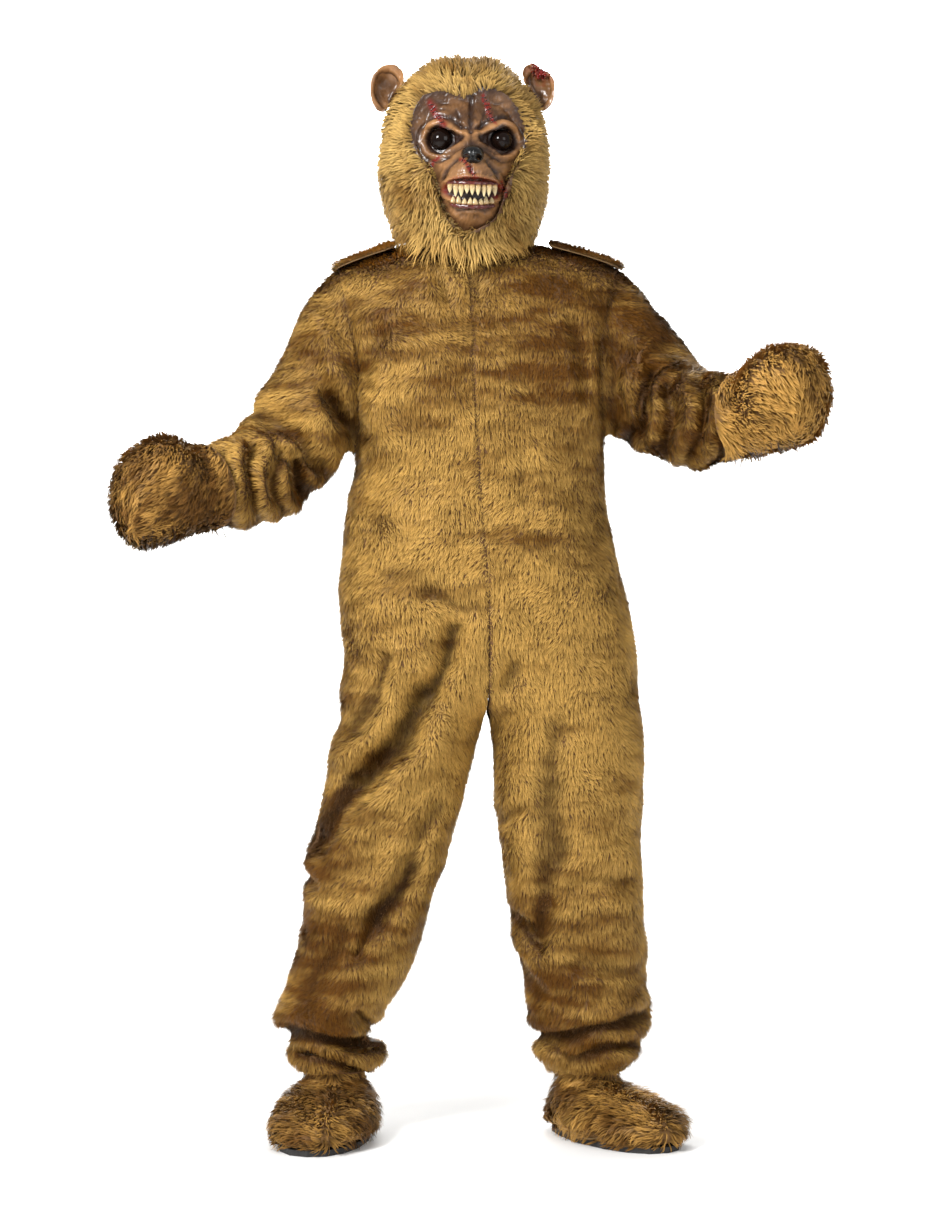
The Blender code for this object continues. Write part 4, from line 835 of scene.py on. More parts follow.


# %% [markdown]
# ## The jumpsuit
# The suit is four body panels and two sleeves in the same golden brown plush. Its pile is about 12 mm long
# and hangs down. Where its nap lies the wrong way it shows browner, in streaks that run across the chest,
# and the shoulders are the brownest part. Towards the floor, on the lower legs and in the creases it is
# browner and darker as painted shade. The pile is trimmed short along the seams, so that they show.

# %% Colours and nap of the suit
# A blade's root is darker than its colour and its tip lighter, by these shares: painted shade deep
# in the pile, and painted light on the tips.
SUIT_ROOT_SHADE = 0.50
LONG_ROOT_SHADE = 0.45
PILE_TIP_LIGHT = 1.15
GOLD = np.array((0.575, 0.332, 0.080))
BROWN = np.array((0.145, 0.056, 0.006))
Patch = namedtuple("Patch", "x h wide high brown")
# Browner patches: nap on the chest and arms, and painted shade on the lower legs, where the light falls off
# towards the floor.
PATCHES = (
    Patch(-0.130, 1.387, 0.090, 0.050, 0.38),
    Patch(0.113, 1.405, 0.090, 0.055, 0.42),
    Patch(0.146, 1.241, 0.060, 0.070, 0.30),
    Patch(0.081, 1.135, 0.070, 0.030, 0.42),
    Patch(0.150, 0.990, 0.080, 0.045, 0.42),
    Patch(0.020, 1.330, 0.030, 0.030, 0.20),
    Patch(0.227, 0.746, 0.030, 0.035, 0.35),
    Patch(0.211, 0.827, 0.030, 0.020, 0.20),
    Patch(-0.049, 0.892, 0.040, 0.014, 0.40),
    Patch(-0.212, 0.960, 0.030, 0.120, 0.45),
    Patch(-0.203, 0.730, 0.050, 0.050, 0.38),
    Patch(-0.276, 0.503, 0.055, 0.060, 0.45),
    Patch(-0.227, 0.308, 0.080, 0.085, 0.56),
    Patch(-0.250, 0.200, 0.090, 0.045, 0.40),
    Patch(0.180, 0.360, 0.080, 0.050, 0.32),
    Patch(0.113, 0.265, 0.050, 0.060, 0.32),
    Patch(0.180, 0.190, 0.090, 0.040, 0.30),
    Patch(-0.276, 1.087, 0.070, 0.045, 0.48),
    Patch(-0.414, 1.054, 0.050, 0.040, 0.40),
    Patch(-0.292, 1.168, 0.030, 0.025, 0.30),
    Patch(-0.235, 0.540, 0.060, 0.110, 0.36),
    Patch(-0.262, 1.260, 0.060, 0.080, 0.24),
    Patch(0.020, 0.820, 0.300, 0.110, -0.16),
    Patch(0.276, 1.330, 0.060, 0.080, 0.76),
    Patch(0.292, 1.184, 0.080, 0.050, 0.45),
    Patch(0.405, 1.168, 0.050, 0.040, 0.40),
)
print(len(PATCHES), "brushed patches in the suit's pile")


def suit_nap(place, normal):
    """Down the body and along the sleeves, with the flow turned a little by large uneven waves."""
    way = np.zeros_like(place)
    sleeve = ease(np.abs(place[:, 0] - 0.01), 0.20, 0.30) * ease(place[:, 2] - FLOOR, 0.95, 1.05)
    way[:, 2] = -1.0 + 0.4 * sleeve
    way[:, 0] = 0.35 * waves(place, 0.22, 41) + 0.9 * sleeve * np.sign(place[:, 0])
    way[:, 1] = -0.5 * ease(normal[:, 2], 0.3, 0.9) * np.sign(-normal[:, 1]) - 0.3 * sleeve
    return way


def suit_paint(place, normal, lot, draw):
    """Gold, with browner streaks of nap, commoner high up and on the picture's right; painted shade makes it
    browner towards the floor and dark in the folds.
    """
    x, h = place[:, 0], place[:, 2] - FLOOR
    # Browner high up where the nap lies the other way, and browner towards the floor as painted shade where
    # the light falls off.
    brushed_and_shaded = 0.06 + 0.37 * ease(h, 1.02, 1.34) + 0.36 * ease(h, 0.66, 0.25)
    brushed_and_shaded = brushed_and_shaded + 0.14 * ease(x, -0.10, -0.22) * ease(h, 0.70, 0.55)
    brushed_and_shaded = brushed_and_shaded + 0.14 * ease(x, 0.00, 0.18) * ease(h, 0.88, 1.00)
    for patch in PATCHES:
        away = ((x - patch.x) / patch.wide) ** 2 + ((h - patch.h) / patch.high) ** 2
        brushed_and_shaded = brushed_and_shaded + patch.brown * np.exp(-away)
    brushed_and_shaded = brushed_and_shaded + 0.18 * waves(place, (0.20, 0.20, 0.070), 21)
    brushed_and_shaded = brushed_and_shaded + 0.19 * waves(place, (0.110, 0.110, 0.024), 22)
    brushed_and_shaded = brushed_and_shaded + 0.22 * waves(place, (0.050, 0.050, 0.010), 23, 24)
    # Creases turn browner and darker: painted shade in the folds.
    folded = np.clip(suit_fold(place, normal) - 0.002, 0, 0.02)
    brushed_and_shaded = np.clip(brushed_and_shaded + 0.20 * (lot[:, 0] - 0.5) + 30 * folded, 0, 1)[:, None]
    colour = GOLD * (1 - brushed_and_shaded) + BROWN * brushed_and_shaded
    colour = colour * draw.uniform(0.80, 1.22, (len(place), 1)) * (1 - 32 * folded[:, None])
    # Darker roots and lighter tips: painted shade deep in the pile and painted light on the tips.
    return colour * SUIT_ROOT_SHADE, colour * PILE_TIP_LIGHT


# %% Dress the body panels and the sleeves
# A seam joins edges that lie within the reach, and the cloth gives over the second distance.
NECK_SEAM = (0.052, 0.030)
ARM_SEAM = (0.060, 0.040)
ARM_SEAM_AGAIN = (0.022, 0.018)
SUIT_WALL = 0.009
SUIT_DEPTH = 0.0068
SUIT_PILE = Pile(per_m2=214000, length=0.0125, width=0.0020, lift=30, tuft=0.008, gather=0.38, bends=False)
suit_look = pile_material("suit pile", 0.12)
cloths = {}
skins = {}


def pushed_in(skin, inwards):
    """A skin with each point moved against its normal."""
    return with_normals(skin.points - skin.normals * inwards[:, None], skin.faces)


def plush(node, skin, backing, pile, nap, paint, look, slot, seed, trim=None):
    """A sewn piece: its backing and its pile."""
    skins[node] = skin
    cloth = cloth_piece(node + "_cloth", skin, backing, node, slot)
    standing = grow(node + "_pile", skin, pile, nap, paint, look, seed, trim)
    cloths[node] = (cloth, standing)
    print(f"{node}: {area_of(skin):.3f} square metres of cloth")


middles = {node: body_middle for node in PANELS}
middles |= {"sleeve_" + side: arm_middle(side) for side in SIDES}
flat = {node: skin_of(node, SUIT_WALL, SUIT_DEPTH, 2, middle) for node, middle in middles.items()}
neckband = skin_of("neckband", SUIT_WALL, SUIT_DEPTH)
for node in PANELS:
    flat[node] = sewn_to(flat[node], [neckband], *NECK_SEAM)
for side in SIDES:
    panels = [flat["front_" + side], flat["back_" + side]]
    flat["sleeve_" + side] = sewn_to(flat["sleeve_" + side], panels, *ARM_SEAM)
folded = {
    node: pushed_in(skin, suit_fold(skin.points, skin.normals))
    for node, skin in zip(flat, shared_normals(list(flat.values())))
}
for side in SIDES:
    panels = [folded["front_" + side], folded["back_" + side]]
    sewn = sewn_to(folded["sleeve_" + side], panels, *ARM_SEAM_AGAIN)
    folded["sleeve_" + side] = with_normals(sewn.points, sewn.faces)
suit = (SUIT_PILE, suit_nap, suit_paint, suit_look, "suit_plush")
for seed, (node, skin) in enumerate(folded.items(), 100):
    plush(node, skin, suit_backing, *suit, seed, seam_trim(skin))

# %% [markdown]
# ## Neckband and shoulder tabs
# A narrow band closes the neck, and a tab of the same plush lies on each shoulder. A tab is one layer with a
# raw edge, so a thin line of its backing shows under the pile. Its wall in the frame is thinner than the
# suit's. None of these is trimmed at the edge, so the pile hangs over it.

# %% Dress the neckband and the tabs
TAB_WALL = 0.006
TAB_DEPTH = 0.0038
TAB_PILE = SUIT_PILE._replace(lift=38)
raw_backing = woven_material("raw backing", (0.165, 0.095, 0.036))
for node, wall, depth, backing in (
    ("neckband", SUIT_WALL, SUIT_DEPTH, suit_backing),
    ("shoulder_tab_right", TAB_WALL, TAB_DEPTH, raw_backing),
    ("shoulder_tab_left", TAB_WALL, TAB_DEPTH, raw_backing),
):
    skin = skin_of(node, wall, depth)
    plush(node, skin, backing, TAB_PILE, suit_nap, suit_paint, suit_look, "suit_plush", 130)

# %% [markdown]
# ## Mitts, boot covers and the hood
# These are cut from a longer plush. The mitts are the most orange, the hood the palest.

# %% Long plush
LONG_PILE = Pile(per_m2=95000, length=0.022, width=0.0026, lift=30, tuft=0.013, gather=0.45, bends=True)
MITT_COLOURS = (np.array((0.56, 0.300, 0.070)), np.array((0.15, 0.065, 0.012)))
HOOD_COLOURS = (np.array((0.54, 0.335, 0.098)), np.array((0.24, 0.120, 0.026)))
long_look = pile_material("long pile", 0.18)
long_backing = woven_material("long plush backing", (0.16, 0.080, 0.022))


def two_tone(light, dark, share, seed):
    """A painter for pile that varies between two colours, darker on the crown and lighter under the chin."""

    def paint(place, normal, lot, draw):
        mix = share + 0.28 * waves(place, 0.05, seed) + 0.22 * waves(place, 0.016, seed + 1)
        h = place[:, 2] - FLOOR
        mix = mix + 0.55 * ease(h, 1.70, 1.79) - 0.12 * ease(h, 1.52, 1.46)
        mix = np.clip(mix + 0.3 * (lot[:, 1] - 0.5), 0, 1)[:, None]
        colour = (light * (1 - mix) + dark * mix) * draw.uniform(0.85, 1.15, (len(place), 1))
        # Darker roots and lighter tips: painted shade deep in the pile and painted light on the tips.
        return colour * LONG_ROOT_SHADE, colour * PILE_TIP_LIGHT

    return paint


def away_from(centre, down):
    """A nap that runs away from a point and a little down."""

    def nap(place, normal):
        way = unit(place - np.array(centre))
        way[:, 2] -= down
        return way

    return nap


def parted(x, lean, y):
    """A nap that runs to both sides of a parting line over the top of a foot, and forward."""

    def nap(place, normal):
        way = np.zeros_like(place)
        way[:, 0] = np.clip((place[:, 0] - x - lean * (place[:, 1] - y)) / 0.012, -1, 1)
        way[:, 1] = -0.45
        way[:, 2] = -0.45
        return way

    return nap


FACE_CENTRE = (0.000, 1.620)
FACE_EDGE = (
    (-0.0504, 1.7229), (-0.0764, 1.7161), (-0.0918, 1.6923), (-0.0951, 1.6641), (-0.0918, 1.6337),
    (-0.0813, 1.6121), (-0.0618, 1.5991), (-0.0553, 1.5836), (-0.0488, 1.5575), (-0.0395, 1.5250),
    (-0.0265, 1.5053), (-0.0049, 1.4918), (0.0236, 1.4951), (0.0431, 1.5146), (0.0562, 1.5406),
    (0.0683, 1.5682), (0.0650, 1.5966), (0.0715, 1.6056), (0.0899, 1.6299), (0.0899, 1.6559),
    (0.0822, 1.6836), (0.0715, 1.7055), (0.0520, 1.7226), (0.0211, 1.7242), (-0.0114, 1.7096),
)


def from_centre(points):
    """For places seen from the front, the direction and the distance from the face's centre."""
    x, h = points[:, 0] - FACE_CENTRE[0], points[:, 2] - FLOOR - FACE_CENTRE[1]
    return np.arctan2(h, x), np.hypot(x, h)


def edge_reach(turn):
    """How far the visible edge of the latex lies from the face's centre in each direction."""
    x, h = (np.array(FACE_EDGE) - FACE_CENTRE).T
    return np.interp(turn, np.arctan2(h, x), np.hypot(x, h), period=2 * math.pi)


def off_the_face(place):
    """A trim that leaves no pile on the latex, and the longest pile under the chin, down to the neckband."""
    turn, far = from_centre(place)
    chin = 1 + 0.8 * ease(place[:, 2] - FLOOR, 1.505, 1.475) * ease(place[:, 1], -0.02, -0.06)
    return np.where((place[:, 1] < 0.0) & (far < edge_reach(turn) - 0.001), 0.0, chin)


hood_nap = away_from((0.0, -0.12, 0.12), 0.5)


def long_nap(node, side):
    """The nap of a long plush piece: out from the wrist, to both sides of the toes, or off the face."""
    low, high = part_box(node)
    if node.startswith("mitt"):
        wrist = low[0] if side == "left" else high[0]
        return away_from((wrist, 0, high[2]), 0.2)
    if node.startswith("boot"):
        lean = -0.55 if side == "left" else 0.0
        return parted((low[0] + high[0]) / 2 + 0.012, lean, (low[1] + high[1]) / 2)
    return hood_nap


LongPart = namedtuple("LongPart", "kind wall depth slot colours dark_share")
LONG_PARTS = (
    LongPart("mitt", 0.011, 0.0085, "mitt_plush", MITT_COLOURS, {"right": 0.86, "left": 0.08}),
    LongPart("boot", 0.010, 0.0078, "mitt_plush", MITT_COLOURS, {"right": 0.84, "left": 0.70}),
    LongPart("hood", 0.013, 0.0105, "mask_plush", HOOD_COLOURS, {"right": 0.25, "left": 0.25}),
)
long_parts = [(part, side) for side in SIDES for part in LONG_PARTS]
for seed, (part, side) in enumerate(long_parts, 140):
    node = part.kind + "_" + side
    skin = skin_of(node, part.wall, part.depth)
    skin = pushed_in(skin, LUMPS * waves(skin.points, 0.07, 149))
    paint = two_tone(*part.colours, part.dark_share[side], seed - 80)
    trim = off_the_face if part.kind == "hood" else None
    look = (LONG_PILE, long_nap(node, side), paint, long_look, part.slot)
    plush(node, skin, long_backing, *look, seed, trim)

# %% [markdown]
# ## Wisps under the mitts
# Dark loose hair hangs from the underside of the mitts. It is the same kind of pile, sparse, thin and long.

# %% Hang dark wisps under the mitts
WISP_PILE = Pile(per_m2=9000, length=0.042, width=0.0014, lift=12, tuft=0.020, gather=0.5, bends=True)
WISP_COLOURS = (np.array((0.120, 0.095, 0.085)), np.array((0.035, 0.028, 0.026)))


def hanging(place, normal):
    """Straight down, for loose hair."""
    way = np.zeros_like(place)
    way[:, 2] = -1.0
    way[:, 0] = 0.2 * waves(place, 0.03, 71)
    return way


def below(limit):
    """A trim that leaves pile only under a height of the frame."""
    return lambda place: np.where(place[:, 2] < limit, 1.0, 0.0)


wisp_paint = two_tone(*WISP_COLOURS, 0.5, 72)
for seed, side in enumerate(SIDES, 170):
    low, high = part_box("mitt_" + side)
    lowest = below(low[2] + 0.22 * (high[2] - low[2]))
    skin = skins["mitt_" + side]
    wisps = grow("wisps_" + side, skin, WISP_PILE, hanging, wisp_paint, long_look, seed, lowest)

# %% [markdown]
# ## The latex face
# The mask's face is cast in latex and painted: a brown bear's face with a furrowed brow, round glossy eyes in
# dark sockets, a black nose, heavy cheeks and a grin. The frame gives its main forms. A finer skin on them
# takes the folds as lines, raised or sunk, and the colour follows them: painted shade in the folds and along
# the latex's edge by the hood, and painted highlight in tan on the ridges.
# The folds here are a layout of their own. Painting by vertex keeps colour and relief together.

# %% Shape the face
Fold = namedtuple("Fold", "x0 h0 x1 h1 width rise")
FACE_X = 0.002
FACE_FOLDS = (
    Fold(0.010, 1.652, 0.030, 1.676, 0.0036, -0.0034),
    Fold(0.030, 1.676, 0.062, 1.683, 0.0040, -0.0028),
    Fold(0.016, 1.664, 0.024, 1.690, 0.0032, -0.0026),
    Fold(0.040, 1.690, 0.066, 1.694, 0.0030, -0.0016),
    Fold(0.034, 1.700, 0.058, 1.706, 0.0028, -0.0014),
    Fold(0.014, 1.643, 0.034, 1.664, 0.0060, 0.0040),
    Fold(0.034, 1.664, 0.070, 1.668, 0.0060, 0.0036),
    Fold(0.024, 1.624, 0.040, 1.617, 0.0030, -0.0024),
    Fold(0.040, 1.617, 0.066, 1.622, 0.0034, -0.0022),
    Fold(0.034, 1.609, 0.062, 1.610, 0.0030, -0.0018),
    Fold(0.024, 1.602, 0.040, 1.584, 0.0036, -0.0034),
    Fold(0.040, 1.584, 0.052, 1.562, 0.0040, -0.0034),
    Fold(0.047, 1.590, 0.064, 1.568, 0.0034, -0.0020),
    Fold(0.056, 1.566, 0.050, 1.542, 0.0034, -0.0020),
    Fold(0.006, 1.632, 0.018, 1.636, 0.0026, -0.0022),
    Fold(0.005, 1.641, 0.014, 1.646, 0.0024, -0.0018),
    Fold(0.0, 1.592, 0.0, 1.572, 0.0028, -0.0034),
    Fold(0.0, 1.524, 0.022, 1.522, 0.0034, -0.0026),
    Fold(0.022, 1.522, 0.036, 1.534, 0.0034, -0.0020),
)
FACE_MIDDLE_FOLDS = (
    Fold(-0.001, 1.660, 0.001, 1.712, 0.0044, -0.0042),
    Fold(-0.012, 1.650, 0.012, 1.651, 0.0026, -0.0024),
    Fold(-0.010, 1.628, 0.010, 1.628, 0.0026, -0.0018),
    Fold(-0.018, 1.514, 0.014, 1.512, 0.0040, -0.0014),
)
EYE_X, EYE_H, EYE_ROUND = 0.0485, 1.6425, 0.0190
SOCKET = Fold(EYE_X + 0.001, EYE_H - 0.001, 0.0165, EYE_H - 0.001, 0.0235, 0.0045)
MOUTH_H, MOUTH_HALF, MOUTH_OPEN = 1.5520, 0.0470, 0.0175
print(len(FACE_FOLDS), "folds on each side of the face and", len(FACE_MIDDLE_FOLDS), "in its middle")


def eye_distance(x, h):
    """How far each place of the front view is from the nearer eye's middle."""
    return np.hypot(np.abs(x - FACE_X) - EYE_X, h - EYE_H)


def socket_distance(x, h):
    """How far each place is outside a dark socket that narrows from the eye towards the nose."""
    far, along = line_distance(np.abs(x - FACE_X), h, SOCKET)
    return far - (SOCKET.width + (SOCKET.rise - SOCKET.width) * along)


def mouth_distance(x, h):
    """How far each place is outside the mouth's edge, in metres; less than 0 inside."""
    across = (x - FACE_X - 0.002) / MOUTH_HALF
    smile = MOUTH_H + 0.006 * across**2
    round_it = np.hypot(across, (h - smile) / MOUTH_OPEN)
    return (round_it - 1) * MOUTH_OPEN * 1.4


def face_rise(x, h):
    """How far the folds, lids and lips raise the face's skin."""
    rise = np.zeros_like(x)
    across = np.abs(x - FACE_X + 0.0016 * waves(np.stack([x, x * 0, h], axis=1), 0.02, 77))
    for fold in FACE_FOLDS:
        far, along = line_distance(across, h, fold)
        fading = 0.45 + 0.55 * np.sin(math.pi * (0.15 + 0.7 * along))
        rise += fold.rise * np.exp(-((far / fold.width) ** 2)) * fading
    for fold in FACE_MIDDLE_FOLDS:
        far, _ = line_distance(x - FACE_X, h, fold)
        rise += fold.rise * np.exp(-((far / fold.width) ** 2))
    lid = eye_distance(x, h) - EYE_ROUND
    rise += 0.0022 * np.exp(-(((lid - 0.0035) / 0.0018) ** 2)) - 0.0030 * np.exp(-((lid / 0.0022) ** 2))
    socket = socket_distance(x, h)
    rise -= 0.0034 * ease(socket, 0.002, -0.003)
    above = ease(h - EYE_H, -0.004, 0.008)
    rise += (0.0020 + 0.0045 * above) * np.exp(-(((socket - 0.0055) / 0.0045) ** 2))
    rise -= 0.0022 * np.exp(-(((socket - 0.0145) / 0.0030) ** 2))
    lip = mouth_distance(x, h)
    rise += 0.0042 * np.exp(-(((lip - 0.0035) / 0.0032) ** 2)) - 0.0050 * ease(lip, 0.001, -0.004)
    pleats = np.sin(np.arctan2(h - MOUTH_H, x - FACE_X) * 46)
    rise += 0.0007 * pleats * np.exp(-(((lip - 0.006) / 0.005) ** 2))
    place = np.stack([x, x * 0, h], axis=1)
    return rise + 0.0005 * waves(place, 0.008, 31) + 0.0003 * waves(place, 0.0035, 32)


# %% Paint the face
LATEX_BROWN = np.array((0.064, 0.028, 0.011))
LATEX_TAN = np.array((0.320, 0.155, 0.060))
LATEX_DARK = np.array((0.022, 0.010, 0.007))
BLOOD = np.array((0.150, 0.006, 0.004))
Scar = namedtuple("Scar", "x0 h0 x1 h1 width")
SCARS = (
    Scar(-0.066, 1.704, -0.044, 1.664, 0.0050),
    Scar(0.020, 1.716, 0.040, 1.668, 0.0026),
    Scar(-0.070, 1.590, -0.052, 1.611, 0.0026),
    Scar(-0.014, 1.602, 0.008, 1.572, 0.0030),
    Scar(0.052, 1.572, 0.060, 1.545, 0.0030),
)
print(len(SCARS), "cuts are painted and sewn")


def face_paint(skin, rise):
    """Brown latex, dark in the sockets and mouth, with painted shade in the folds and by the hood's edge,
    painted highlight in tan on the ridges, and painted blood round the cuts.
    """
    x, h = skin.points[:, 0], skin.points[:, 2] - FLOOR
    uneven = waves(skin.points, 0.03, 51)
    low_face = ease(h, 1.64, 1.59)
    # The tan grows with the raised folds: painted highlight on the ridges.
    ridge = np.clip(0.14 + 0.52 * low_face + 140 * rise + 0.16 * uneven, 0, 1)[:, None]
    colour = LATEX_BROWN * (1 - ridge) + LATEX_TAN * ridge
    lip = mouth_distance(x, h)
    # Sunk folds are darkened: painted shade.
    dark = np.clip(-260 * np.clip(rise, -0.01, 0) - 0.1, 0, 0.8)
    dark = np.maximum(dark, 0.96 * ease(socket_distance(x, h), 0.0035, -0.001))
    dark = np.maximum(dark, 0.95 * ease(lip, 0.001, -0.002))
    turn, far = from_centre(skin.points)
    # Darker towards the latex's edge, where it meets the hood: painted shade.
    dark = np.maximum(dark, 0.60 * ease(far - edge_reach(turn), -0.014, -0.001))
    colour = colour * (1 - dark[:, None]) + LATEX_DARK * dark[:, None]
    blood = 0.9 * np.exp(-(((lip + 0.001) / 0.0040) ** 2)) * (0.55 + 0.45 * waves(skin.points, 0.010, 52))
    for scar in SCARS:
        far, _ = line_distance(x + 0.002 * waves(skin.points, 0.01, 53), h, scar)
        blood = np.maximum(blood, 0.95 * np.exp(-((far / scar.width) ** 2)))
    blood = np.clip(blood, 0, 1)[:, None]
    return colour * (1 - blood) + BLOOD * blood


def painted(obj, colour):
    """Colours on each point of a mesh, read by its material as "paint"."""
    own = obj.data.color_attributes.new("paint", "FLOAT_COLOR", "POINT")
    four = np.concatenate([np.clip(colour, 0, 1), np.ones((len(colour), 1))], axis=1)
    own.data.foreach_set("color", four.reshape(-1))
    return obj


def painted_material(name, roughness, coat, grain=0.0, grain_size=500.0):
    """A glossy cast surface whose colour comes from its painted points, with fine pores as bump."""
    made = plain_material(
        name, (0.2, 0.1, 0.05), roughness, Specular_IOR_Level=0.34, Coat_Weight=coat, Coat_Roughness=0.18
    )
    nodes, links = made.node_tree.nodes, made.node_tree.links
    shader = nodes["Principled BSDF"]
    own = nodes.new("ShaderNodeAttribute")
    own.attribute_name = "paint"
    links.new(own.outputs["Color"], shader.inputs["Base Color"])
    if grain:
        place = nodes.new("ShaderNodeTexCoord")
        pores = nodes.new("ShaderNodeTexNoise")
        pores.inputs["Scale"].default_value = grain_size
        pores.inputs["Detail"].default_value = 6.0
        bump = nodes.new("ShaderNodeBump")
        bump.inputs["Strength"].default_value = grain
        bump.inputs["Distance"].default_value = 0.0008
        links.new(place.outputs["Object"], pores.inputs["Vector"])
        links.new(pores.outputs["Fac"], bump.inputs["Height"])
        links.new(bump.outputs["Normal"], shader.inputs["Normal"])
    return made


# %% Fit the face to the hood
# The latex lies OVER_HOOD in front of the hood's skin from the height BROW_FROM on. Below that height it runs
# UNDER_HOOD behind it.
LATEX = 0.003
BROW_FROM = 1.66
OVER_HOOD = 0.005
UNDER_HOOD = 0.004
LATEX_SHEET = 0.0022
latex_look = painted_material("painted latex", 0.32, 0.22, 0.35, 420.0)
halves = [skins["hood_" + side] for side in SIDES]
hood_points = np.concatenate([half.points for half in halves])
hood_faces = np.concatenate([halves[0].faces, halves[1].faces + len(halves[0].points)])
hood_tree = BVHTree.FromPolygons(hood_points.tolist(), hood_faces.tolist())


def spread_to_edge(skin):
    """The face's skin with its rim drawn out over the hood's brow and tucked under the hood at the cheeks."""
    turn, far = from_centre(skin.points)
    rim = np.unique(rim_edges(skin))
    now = np.interp(turn, turn[rim], far[rim], period=2 * math.pi)
    edge = edge_reach(turn)
    h = skin.points[:, 2] - FLOOR
    grown = 1 + (np.maximum(edge / now, 1) - 1) * ease(far / now, 0.45, 1.0)
    points = skin.points.copy()
    points[:, 0] = FACE_CENTRE[0] + far * grown * np.cos(turn)
    points[:, 2] = FLOOR + FACE_CENTRE[1] + far * grown * np.sin(turn)
    outside = ease(far * grown / edge, 1.02, 1.10) * ease(h, BROW_FROM, 1.62)
    resting = []
    for index in np.flatnonzero(far / now > 0.6):
        x, y, z = points[index]
        place, _, _, _ = hood_tree.ray_cast(Vector((x, -1.0, z)), Vector((0, 1, 0)))
        if place is None or place.y > 0:
            continue
        points[index, 1] = min(y, place.y - OVER_HOOD)
        resting.append(index)
        if z - FLOOR < BROW_FROM:
            points[index, 1] += (place.y + UNDER_HOOD - points[index, 1]) * outside[index]
    order = np.array(resting)[np.argsort(turn[resting])]
    bins = [group for group in np.array_split(order, 60) if len(group)]
    turns = [turn[group].mean() for group in bins]
    fronts = [points[group, 1].min() for group in bins]
    front = np.interp(turn, turns, fronts, period=2 * math.pi)
    brow = ease(h, 1.58, BROW_FROM) * ease(far / now, 0.62, 0.85)
    points[:, 1] += np.minimum(front - points[:, 1], 0) * brow
    return with_normals(points, skin.faces)


face_skin = spread_to_edge(skin_of("face", LATEX, 0.0, 3))
lift = face_rise(face_skin.points[:, 0], face_skin.points[:, 2] - FLOOR)
face_skin = with_normals(face_skin.points + face_skin.normals * lift[:, None], face_skin.faces)
face = new_object("latex_face", face_skin.points, face_skin.faces, latex_look)
painted(face, face_paint(face_skin, lift))
thickened(face, LATEX_SHEET)
dress(face, "latex", "face")
face_tree = BVHTree.FromPolygons(face_skin.points.tolist(), face_skin.faces.tolist())
print(f"face: {len(face_skin.faces)} faces, folds from {lift.min() * 1000:.1f} to {lift.max() * 1000:.1f} mm")


def on_face(x, h):
    """The place on the face at a spot of the front view, and the way it faces."""
    place, normal, _, _ = face_tree.ray_cast(Vector((x, -1.0, h + FLOOR)), Vector((0, 1, 0)))
    if place is None:
        place, normal, _, _ = face_tree.find_nearest(Vector((x, -0.12, h + FLOOR)))
    return place, normal if normal.y < 0 else -normal


# %% Let the hood's plush hang over the latex
def on_the_brow(place):
    """A trim that leaves pile only outside the visible edge of the latex."""
    turn, far = from_centre(place)
    return np.where(far > edge_reach(turn) - 0.001, 0.8, 0.0)


fringe_pile = LONG_PILE._replace(per_m2=150000)
fringe_paint = two_tone(*HOOD_COLOURS, 0.2, 60)
fringe = grow("fringe_pile", face_skin, fringe_pile, hood_nap, fringe_paint, long_look, 160, on_the_brow)

# %% [markdown]
# ## Eyes and nose
# The eyes are glossy black domes and the nose is black latex with two nostrils. Both are built as a polar
# grid: rings from the middle out, each point raised by a formula. A coat over a dark base gives them their
# wet shine without any light painted on.

# %% Set the eyes and the nose
def facing_out(obj, weld=None):
    """The object with all its faces turned outwards, and with points closer than weld joined."""
    bm = bmesh.new()
    bm.from_mesh(obj.data)
    if weld:
        bmesh.ops.remove_doubles(bm, verts=bm.verts, dist=weld)
    bmesh.ops.recalc_face_normals(bm, faces=bm.faces)
    bm.to_mesh(obj.data)
    bm.free()
    return obj


def polar_cap(name, node, look, turns, rings, shape, slot):
    """A closed cap in a node's box. shape(share, turn) gives x and z in half sizes, and the height."""
    low, high = (Vector(corner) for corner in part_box(node))
    middle, half = (low + high) / 2, (high - low) / 2
    deep = high.y - low.y
    points = []
    for ring in range(rings + 1):
        for turn in range(turns):
            across, up, out = shape(ring / rings, 2 * math.pi * turn / turns)
            points.append((middle.x + half.x * across, high.y - deep * out, middle.z + half.z * up))
    faces = []
    for ring in range(rings):
        for turn in range(turns):
            a, b = ring * turns + turn, ring * turns + (turn + 1) % turns
            faces.append((a, b, b + turns, a + turns))
    faces.append(tuple(range(rings * turns, (rings + 1) * turns))[::-1])
    made = facing_out(new_object(name, points, faces, look), weld=1e-6)
    made.data.shade_smooth()
    return dress(made, slot, node)


def eye_shape(share, turn):
    """A round dome."""
    return share * math.cos(turn), share * math.sin(turn), 0.12 + 0.88 * math.sqrt(max(1 - share**2, 0))


def nose_shape(share, turn):
    """A rounded triangle, broad above, with two nostrils and a groove between them below."""
    reach = 1 + 0.10 * math.sin(turn) - 0.10 * math.cos(2 * turn) + 0.03 * math.sin(3 * turn)
    x, z = 0.94 * share * reach * math.cos(turn), 0.94 * share * reach * math.sin(turn)
    dome = 0.10 + 0.90 * math.sqrt(max(1 - share**2.4, 0))
    nostril = math.exp(-(((abs(x) - 0.46) / 0.17) ** 2) - ((z + 0.20) / 0.17) ** 2)
    groove = math.exp(-((x / 0.07) ** 2)) * (1 if z < -0.1 else 0.35)
    return x, z, max(dome - 0.55 * nostril - 0.10 * groove, 0.06)


